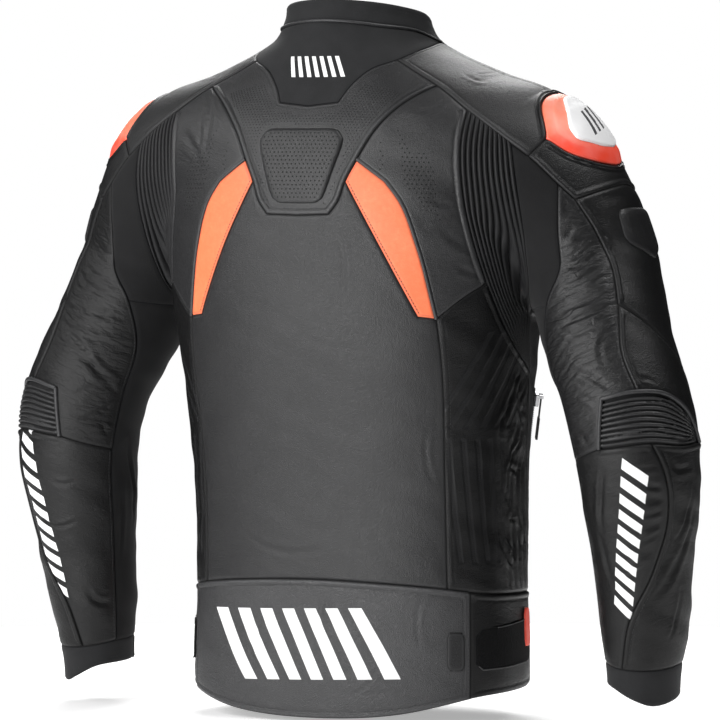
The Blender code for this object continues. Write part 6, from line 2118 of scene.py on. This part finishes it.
@dataclass
class Patch:
    """A piece that lies on a panel: a pad, a strap, a cap or a tape."""

    inlay: Inlay
    chart: str
    base: float
    roll: float
    stuff: Stuff
    dome: float = 0.0
    rounds: int = 2
    step: float = FINE_STEP
    prints: dict[int, tuple[Bars, ...]] = None
    replaces: bool = True
    form: str = "sheet"

    def ring(self, side: int, spacing: float) -> Numbers:
        """The patch's outline on the form, with its corners rounded."""
        corners = np.array(self.inlay.outline) / 1000.0
        if side == 0:
            corners = np.concatenate([corners, mirrored(corners[-2:0:-1])])
        for _ in range(self.rounds):
            after = np.roll(corners, -1, axis=0)
            corners = np.stack([corners * 0.85 + after * 0.15, corners * 0.15 + after * 0.85],
                               axis=1).reshape(-1, 3)
        points = []
        for start, end in zip(corners, np.roll(corners, -1, axis=0)):
            count = max(1, math.ceil(np.linalg.norm(end - start) / spacing))
            points.extend(start + (end - start) * k / count for k in range(count))
        return FORM.snap(np.array(points))

    def build(self, side: int) -> bpy.types.Object:
        """Build the patch on one side."""
        ring, coarse = self.ring(side, 0.0028), self.ring(side, 0.02)
        style = np.zeros(len(ring), int)
        cut = cut_out(ring, coarse, self.chart, [Edge.FLAT], style, self.step,
                      offsets=(0.0007, 0.0016, 0.0028, 0.0042))
        thick = self.inlay.thickness
        height = self.base + thick * np.sqrt(1.0 - (1.0 - np.clip(cut.seam / self.roll, 0.0, 1.0)) ** 2)
        height += self.dome * eased(cut.seam / 0.022)
        name = self.inlay.name + suffix(side)
        piece = walled(name + "_piece", cut, height, self.base - 0.0003, side,
                       {"seam": cut.seam, "worn": np.zeros(len(height))})
        bars = (self.prints or {}).get(side)
        finish = WORKSHOP.of(self.stuff)
        if bars:
            finish = WORKSHOP.get(name + "_finish", replace(WHITE, prints=bars))
        for _ in ("outer face", "inner face"):
            piece.data.materials.append(finish)
        settle(piece, "jacket", (name,) if self.replaces else ())
        if self.form == "sheet":
            width, length = cut.blank()
            min(cut.area(), width * length)
        elif self.form == "padded":
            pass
        return piece


def named(name: str, pieces: tuple[Panel | Inlay, ...]) -> Panel | Inlay:
    """The piece of that name in a table."""
    return next(piece for piece in pieces if piece.name == name)


INK = (0.0045, 0.0045, 0.005, 1.0)
PRINTS: dict[str, dict[int, tuple[Bars, ...]]] = {
    "forearm_back": {-1: (Bars((0.438, 0.069), (0.588, 0.094), 10, 0.024, 0.55, 0.60),),
                     1: (Bars((0.392, 0.055), (0.590, 0.078), 12, 0.024, -0.55, 0.60),)},
    "lower_back_pad": {0: (Bars((-0.108, -0.578), (0.098, -0.572), 7, 0.070, 0.55, 0.55),)},
    "neck_patch": {0: (Bars((-0.040, -0.006), (0.046, -0.006), 7, 0.020, 0.55, 0.50),)},
    "flank_panel": {side: (
        Bars((-0.238, -0.313), (-0.142, -0.313), 7, 0.092, 0.45, 0.34, INK, -0.0005, 0.20, 0.0024),
        Bars((-0.240, -0.432), (-0.144, -0.432), 8, 0.122, -0.12, 0.34, INK, -0.0005, 0.20, 0.0024))
        for side in (-1, 1)},
}


@dataclass
class Jacket:
    """All the sewn panels, and the pieces that lie on them."""

    rows: dict[int, list[Row]] = None
    pieces: dict[str, bpy.types.Object] = None

    def patches(self) -> tuple[Patch, ...]:
        """The pads, straps, caps and tapes that lie on panels."""
        red = Inlay("strap_end_tab", "hem_gusset", TAPE, (
            (170.5, -20, -542), (169.5, -36, -542), (169.5, -36, -580), (170.5, -20, -580)))
        sewn = Inlay("strap_root_tab", "lower_back_pad", TAPE, (
            (133, 74, -561), (147, 64, -561), (147, 64, -599), (133, 74, -599)))
        bars = (Bars((-0.016, 0.0), (0.014, 0.0), 3, 0.026, 0.45, 0.46, (0.075, 0.075, 0.080, 1.0)),)
        return (
            Patch(named("spine_pad", MIDDLE_INLAYS), "flat", -0.0005, 0.0045, Stuff.LEATHER,
                  form="padded"),
            Patch(named("slider_cap", SIDE_INLAYS), "flat", SLIDER_RISE - 0.0004, 0.0025,
                  Stuff.WHITE_SHELL, 0.0012, form="shell", prints={-1: bars, 1: bars}),
            Patch(named("arm_pad", SIDE_INLAYS), "sleeve", -0.0005, 0.0090, Stuff.LEATHER, form="padded"),
            Patch(named("hem_strap", SIDE_INLAYS), "body", 0.0003, 0.0010, Stuff.HOOKS, rounds=1),
            Patch(named("pocket_zip", SIDE_INLAYS), "body", 0.0002, 0.0008, Stuff.TAPE, rounds=1),
            Patch(red, "body", 0.0018, 0.0008, Stuff.ORANGE_SHELL, rounds=1, replaces=False),
            Patch(sewn, "body", 0.0016, 0.0010, Stuff.LEATHER, rounds=1, replaces=False),
        )

    def patch(self, name: str) -> Patch:
        """The patch of that name."""
        return next(patch for patch in self.patches() if patch.inlay.name == name)

    def maker(self, panel: Panel) -> PanelMaker:
        """The maker that a panel needs."""
        if panel.name == "elbow_ribs":
            return ElbowRibs(panel, (0.38, 1.0), seam_step=0.0010)
        if panel.name == "shoulder_slider":
            return SliderShell(panel, held="")
        return PanelMaker(panel, prints=PRINTS.get(panel.name))

    def build(self) -> None:
        """Build every panel and patch on both sides, and gather the rows of stitches."""
        self.rows, self.pieces = {-1: [], 0: [], 1: []}, {}
        patches = self.patches()
        for panel in MIDDLE_PANELS + SIDE_PANELS:
            sides = (0,) if panel in MIDDLE_PANELS else (-1, 1)
            if panel.name == "back_ribs":
                ribs = BackRibs(panel)
                cut = ribs.cut()
                for side in sides:
                    ribs.build(side, cut)
                continue
            maker = self.maker(panel)
            rings = [patch.ring(0 if sides == (0,) and patch.inlay in MIDDLE_INLAYS else 1, 0.004)
                     for patch in patches if patch.inlay.panel == panel.name]
            cut = maker.cut()
            for side in sides:
                self.pieces[panel.name + suffix(side)] = maker.build(side, cut, rings)
            rows = maker.stitch_rows()
            for side in sides:
                self.rows[side] += rows if side >= 0 else [to_side(row, -1) for row in rows]
        for patch in patches:
            for side in (0,) if patch.inlay in MIDDLE_INLAYS else (-1, 1):
                if patch.inlay.name == "strap_root_tab" and side == 1:
                    continue
                self.pieces[patch.inlay.name + suffix(side)] = patch.build(side)


@dataclass
class Trim:
    """Stitches, piping, perforations and zip teeth; the holes by their pitch and radius."""

    jacket: Jacket
    stitch_pitch: float = 0.0034
    stitch_size: tuple[float, float, float] = (0.0026, 0.0007, 0.0006)
    pipe: float = 0.0019
    binding: float = 0.0006
    tooth_pitch: float = 0.0022
    tooth_size: tuple[float, float, float] = (0.0013, 0.0048, 0.0016)
    yoke_holes: tuple[float, float] = (0.0037, 0.00068)
    pad_holes: tuple[float, float] = (0.0044, 0.00085)
    blade_holes: tuple[float, float] = (0.0049, 0.00085)

    def stitches(self) -> None:
        """Sew along every row."""
        thread = WORKSHOP.get("thread", Plain((0.006, 0.006, 0.007, 1.0), (0.03, 0.03, 0.032, 1.0), 0.6))
        tree = row_tree("stitches", "GeometryNodeMeshIcoSphere", {"Radius": 0.5, "Subdivisions": 1})
        self.jacket.rows[-1] += self.crossed()
        for side, rows in self.jacket.rows.items():
            values = {Kind.PITCH: self.stitch_pitch, Kind.SIZE: self.stitch_size, Kind.STUFF: thread}
            piece = grown("stitching" + suffix(side), rows, tree, values)
            settle(piece, "jacket")

    def crossed(self) -> list[Row]:
        """The crossed stitches on the tab at the root of the right strap."""
        tab, rows = self.jacket.pieces["strap_root_tab_right"], []
        for start, end in (((-0.135, 0.073, -0.563), (-0.145, 0.065, -0.597)),
                           ((-0.145, 0.065, -0.563), (-0.135, 0.073, -0.597))):
            row = self.laid_on(tab, FORM.snap(np.linspace(start, end, 12), 6))
            rows.append(Row(row.points + row.out * 0.0007, row.out))
        return rows

    def line(self, seam: str, start: str, end: str, lift: float) -> Row:
        """A row along a seam, at a height above the form."""
        points = PATTERN.run(seam, start, end, 0.004, True)
        out = FORM.normal(points)
        return Row(points + out * lift, out)

    def piping(self) -> None:
        """Sew cords along the collar's fold, the wedges and the elbows, and lighter ones as a painted
        highlight on the hook strap's edges.
        """
        cord = WORKSHOP.get("piping", Plain((0.012, 0.012, 0.013, 1.0), (0.035, 0.035, 0.037, 1.0), 0.5))
        tree = piping_tree()
        half = self.line("fold", "fold_back", "fold_end", 0.0002)
        fold = Row(np.concatenate([mirrored(half.points[:0:-1]), half.points]),
                   np.concatenate([mirrored(half.out[:0:-1]), half.out]))
        grown_pieces = {"collar_piping": ([fold], 0.0016, "collar_band")}
        for side in (-1, 1):
            wedge = [self.line("wedge_outer", "wedge_knee", "wedge_tip", -0.0002),
                     self.line("wedge_shoulder", "wedge_top", "wedge_knee", -0.0002)]
            elbow = [self.line("elbow_top", "elbow_inner", "elbow_corner", 0.0001),
                     self.line("elbow_side", "elbow_inner", "elbow_low_in", 0.0001)]
            grown_pieces["wedge_piping" + suffix(side)] = (
                [to_side(row, side) for row in wedge], self.pipe, "back_wedge" + suffix(side))
            grown_pieces["elbow_piping" + suffix(side)] = (
                [to_side(row, side) for row in elbow], self.pipe * 1.15, "elbow_ribs" + suffix(side))
        for name, (rows, radius, slot) in grown_pieces.items():
            piece = grown(name, rows, tree, {Kind.RADIUS: radius, Kind.STUFF: cord})
            settle(piece, "jacket")
        strap = self.jacket.patch("hem_strap")
        ring = strap.ring(1, 0.004)
        out = FORM.normal(ring)
        line = ring + out * (strap.base + strap.inlay.thickness)
        level = ring[:, 2].mean()
        edges = [Row(line[chosen], out[chosen]) for chosen in (ring[:, 2] > level + 0.0185,
                                                              ring[:, 2] < level - 0.0185)]
        # The strap's bound edges are real cords, and their lighter colour is a painted highlight along them.
        tape = WORKSHOP.get("binding", Plain((0.03, 0.03, 0.031, 1.0), (0.07, 0.07, 0.072, 1.0), 0.6))
        for side in (-1, 1):
            piece = grown("strap_highlight_binding" + suffix(side), [to_side(edge, side) for edge in edges], tree,
                          {Kind.RADIUS: self.binding, Kind.STUFF: tape})
            settle(piece, "jacket")

    @staticmethod
    def laid_on(piece: bpy.types.Object, points: Numbers) -> Row:
        """Points moved onto a piece's outer face, with the way out of it."""
        mesh = piece.data
        places = np.empty(len(mesh.vertices) * 3, np.float32)
        mesh.vertices.foreach_get("co", places)
        corners = np.empty(len(mesh.loops), np.int32)
        mesh.loops.foreach_get("vertex_index", corners)
        surface = BVHTree.FromPolygons(places.reshape(-1, 3).tolist(), corners.reshape(-1, 3).tolist())
        lifted_points = points + FORM.normal(points) * 0.006
        found = [surface.find_nearest(Vector(point)) for point in lifted_points]
        out = np.array([hit[1] for hit in found])
        return Row(np.array([hit[0] for hit in found]) + out * TRIM_LIFT, out)

    def holes(self) -> None:
        """Punch the yoke, its pad and the two blade panels."""
        # Near black discs: painted shade for the depth of each punched hole.
        black = Plain((0.001, 0.001, 0.001, 1.0), (0.003, 0.003, 0.003, 1.0), 0.9)
        dark = WORKSHOP.get("punched hole", black)
        tree = hole_tree()
        yoke_ring, _ = PanelMaker(named("yoke", MIDDLE_PANELS)).outline(0.006)
        pad_ring = self.jacket.patch("spine_pad").ring(0, 0.005)
        yoke_flat, pad_flat = yoke_ring[:, [0, 2]], pad_ring[:, [0, 2]]
        for name, (pitch, radius) in (("yoke", self.yoke_holes), ("spine_pad", self.pad_holes)):
            grid = hex_grid(np.array([(-0.13, -0.15), (0.13, -0.015)]), pitch)
            spots = FORM.snap(np.column_stack([grid[:, 0], np.full(len(grid), 0.12), grid[:, 1]]), 8)
            flat = spots[:, [0, 2]]
            in_pad, pad_gap = inside(pad_flat, flat), nearest_on(pad_flat, flat).gap
            in_yoke = inside(yoke_flat, flat) & (nearest_on(yoke_flat, flat).gap > 0.009)
            chosen = (in_pad if name == "spine_pad" else in_yoke & ~in_pad) & (pad_gap > 0.004)
            row = self.laid_on(self.jacket.pieces[name], spots[chosen])
            piece = grown(name + "_perforations", [row], tree, {Kind.RADIUS: radius, Kind.STUFF: dark}, True)
            settle(piece, "jacket")
        pitch, radius = self.blade_holes
        for side in (-1, 1):
            grid = hex_grid(np.array([(0.082, -0.160), (0.152, -0.075)]), pitch)
            lean = grid[:, 1] + 0.111 + (grid[:, 0] - 0.115) * 0.85
            band = np.abs(lean) < 0.024 + 0.006 * np.sin(grid[:, 0] * 260.0)
            sprinkle = np.sin(grid[:, 0] * 9100.0 + grid[:, 1] * 5200.0) > -0.45
            grid = grid[band & sprinkle]
            spots = FORM.snap(np.column_stack([grid[:, 0], np.full(len(grid), 0.11), grid[:, 1]]), 8)
            spots = spots if side > 0 else mirrored(spots)
            row = self.laid_on(self.jacket.pieces["blade_panel" + suffix(side)], spots)
            piece = grown("blade_perforations" + suffix(side), [row], tree,
                          {Kind.RADIUS: radius, Kind.STUFF: dark}, True)
            settle(piece, "jacket")

    def teeth(self) -> None:
        """Set the front zip's and the pocket zips' teeth."""
        steel = Plain((0.05, 0.05, 0.053, 1.0), (0.12, 0.12, 0.125, 1.0), 0.35, 0.9)
        metal = WORKSHOP.get("zip teeth", steel)
        tree = row_tree("zip teeth", "GeometryNodeMeshCylinder", {"Vertices": 8, "Radius": 0.5, "Depth": 1.0})
        heights = np.linspace(0.020, -0.597, 220)
        front = FORM.snap(np.column_stack([np.zeros(220), np.full(220, -0.11), heights]), 8)
        front = front[front[:, 1] < 0]
        rows = {"front_zip_teeth": (front, 0.0002, "front_zip")}
        pocket = FORM.snap(np.linspace((0.1690, -0.0520, -0.3300), (0.1485, -0.0895, -0.4500), 40), 6)
        for side in (-1, 1):
            rows["pocket_zip_teeth" + suffix(side)] = (
                pocket if side > 0 else mirrored(pocket), 0.0018, "pocket_zip" + suffix(side))
        for name, (points, lift, slot) in rows.items():
            out = FORM.normal(points)
            row = Row(points + out * lift, out)
            values = {Kind.PITCH: self.tooth_pitch, Kind.SIZE: self.tooth_size, Kind.STUFF: metal}
            settle(grown(name, [row], tree, values), "jacket")


@dataclass
class Hardware:
    """The zip sliders and pulls, whose shapes come from the CAD."""

    metal: Plain = Plain((0.42, 0.42, 0.43, 1.0), (0.66, 0.66, 0.67, 1.0), 0.30, 1.0, 1200.0, 0.00002)
    rubber: Plain = Plain((0.010, 0.010, 0.011, 1.0), (0.028, 0.028, 0.030, 1.0), 0.55, 0.0, 1600.0)

    def dress(self) -> None:
        """Give each slider a metal finish and each pull a rubber one."""
        for name, node in FRAME["nodes"].items():
            if name.endswith("zip_slider"):
                finish = WORKSHOP.get("slider metal", self.metal)
            elif name.endswith("zip_pull"):
                finish = WORKSHOP.get("pull rubber", self.rubber)
            else:
                continue
            for slot in node.material_slots:
                slot.material = finish
            LOG.info("%s: dressed", name)


def toward(turn: float, lift: float) -> Vector:
    """The way out from the jacket at an azimuth and a height in degrees, as the camera's count."""
    turn, lift = math.radians(turn), math.radians(lift)
    return Vector((math.sin(turn) * math.cos(lift), -math.cos(turn) * math.cos(lift), math.sin(lift)))


@dataclass
class Studio:
    """A pale floor, soft lights and the camera of the photograph."""

    azimuth: float = 207.0
    elevation: float = 2.0
    distance: float = 6.0
    aim: tuple[float, float, float] = (0.0, 0.0, -0.298)
    shown: float = 0.720
    lamp_distance: float = 2.6
    lamp_width: float = 1.4

    def camera(self) -> None:
        """Set up the camera, a millimetre of the jacket to each pixel of a 720-pixel picture."""
        data = bpy.data.cameras.new("camera")
        data.sensor_width = 36.0
        data.lens = 36.0 * self.distance / self.shown
        data.clip_end = 40.0
        bpy.context.scene.camera = self.aimed("camera", data, self.azimuth, self.elevation, self.distance)

    def aimed(self, name: str, data: bpy.types.ID, turn: float, lift: float,
              far: float) -> bpy.types.Object:
        """Stand a camera or a lamp away from the jacket, turned to face it."""
        made, way = placed(name, data), toward(turn, lift)
        made.location = Vector(self.aim) + way * far
        made.rotation_euler = way.to_track_quat("Z", "Y").to_euler()
        return made

    def lamp(self, name: str, turn: float, lift: float, power: float) -> None:
        """Add a soft square light that faces the jacket.

        Args:
            name: the light's name.
            turn: where it stands round the jacket, as the camera's azimuth counts.
            lift: how high, in degrees above the horizon.
            power: its power in watts.
        """
        data = bpy.data.lights.new(name, "AREA")
        data.size, data.energy = self.lamp_width, power
        self.aimed(name, data, turn, lift, self.lamp_distance)

    def floor(self) -> None:
        """Lay a round pale floor just under the hem."""
        count, radius, level = 96, 1.15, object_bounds()[0][2] - 0.004
        turns = np.linspace(0.0, 2.0 * math.pi, count, endpoint=False)
        points = [(radius * math.cos(t), radius * math.sin(t), level) for t in turns]
        mesh = bpy.data.meshes.new("floor")
        mesh.from_pydata(points, [], [tuple(range(count))])
        floor = placed("floor", mesh)
        board = Board("floor")
        grain = board.noise(board.object_place(), 30.0, 2.0)
        board.finish(board.blend(grain, (0.90, 0.90, 0.90, 1.0), (0.93, 0.93, 0.93, 1.0)), 0.85,
                     Emission_Color=(1.0, 1.0, 1.0, 1.0), Emission_Strength=0.40)
        mesh.materials.append(board.material)
        floor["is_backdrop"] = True

    def light(self) -> None:
        """Light the jacket softly from the camera's side and from above."""
        self.lamp("key", 150.0, 30.0, 40.0)
        self.lamp("low", 169.0, -5.0, 60.0)
        self.lamp("side", 100.0, 30.0, 10.0)
        self.lamp("far side", 272.0, 60.0, 46.0)
        self.lamp("front", 27.0, 40.0, 50.0)
        world = bpy.data.worlds.new("studio")
        world.use_nodes = True
        bpy.context.scene.world = world
        tree = world.node_tree
        seen = tree.nodes.new("ShaderNodeLightPath")
        strength = tree.nodes.new("ShaderNodeMapRange")
        strength.inputs["To Min"].default_value, strength.inputs["To Max"].default_value = 0.01, 1.0
        tree.links.new(seen.outputs["Is Camera Ray"], strength.inputs["Value"])
        tree.links.new(strength.outputs[0], tree.nodes["Background"].inputs["Strength"])
        tree.nodes["Background"].inputs["Color"].default_value = (1.0, 1.0, 1.0, 1.0)
        bpy.context.scene.view_settings.view_transform = "Standard"

    def build(self) -> None:
        """Set everything up."""
        self.camera()
        self.floor()
        self.light()


def main() -> None:
    """Build the jacket, its trim, its hardware and the studio."""
    logging.basicConfig(level=logging.INFO, format="%(message)s")
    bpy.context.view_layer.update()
    Studio().build()
    jacket = Jacket()
    jacket.build()
    trim = Trim(jacket)
    trim.stitches()
    trim.piping()
    trim.holes()
    trim.teeth()
    Hardware().dress()


for leftover in list(bpy.data.objects):
    bpy.data.objects.remove(leftover)
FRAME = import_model()

if __name__ == "__main__":
    main()
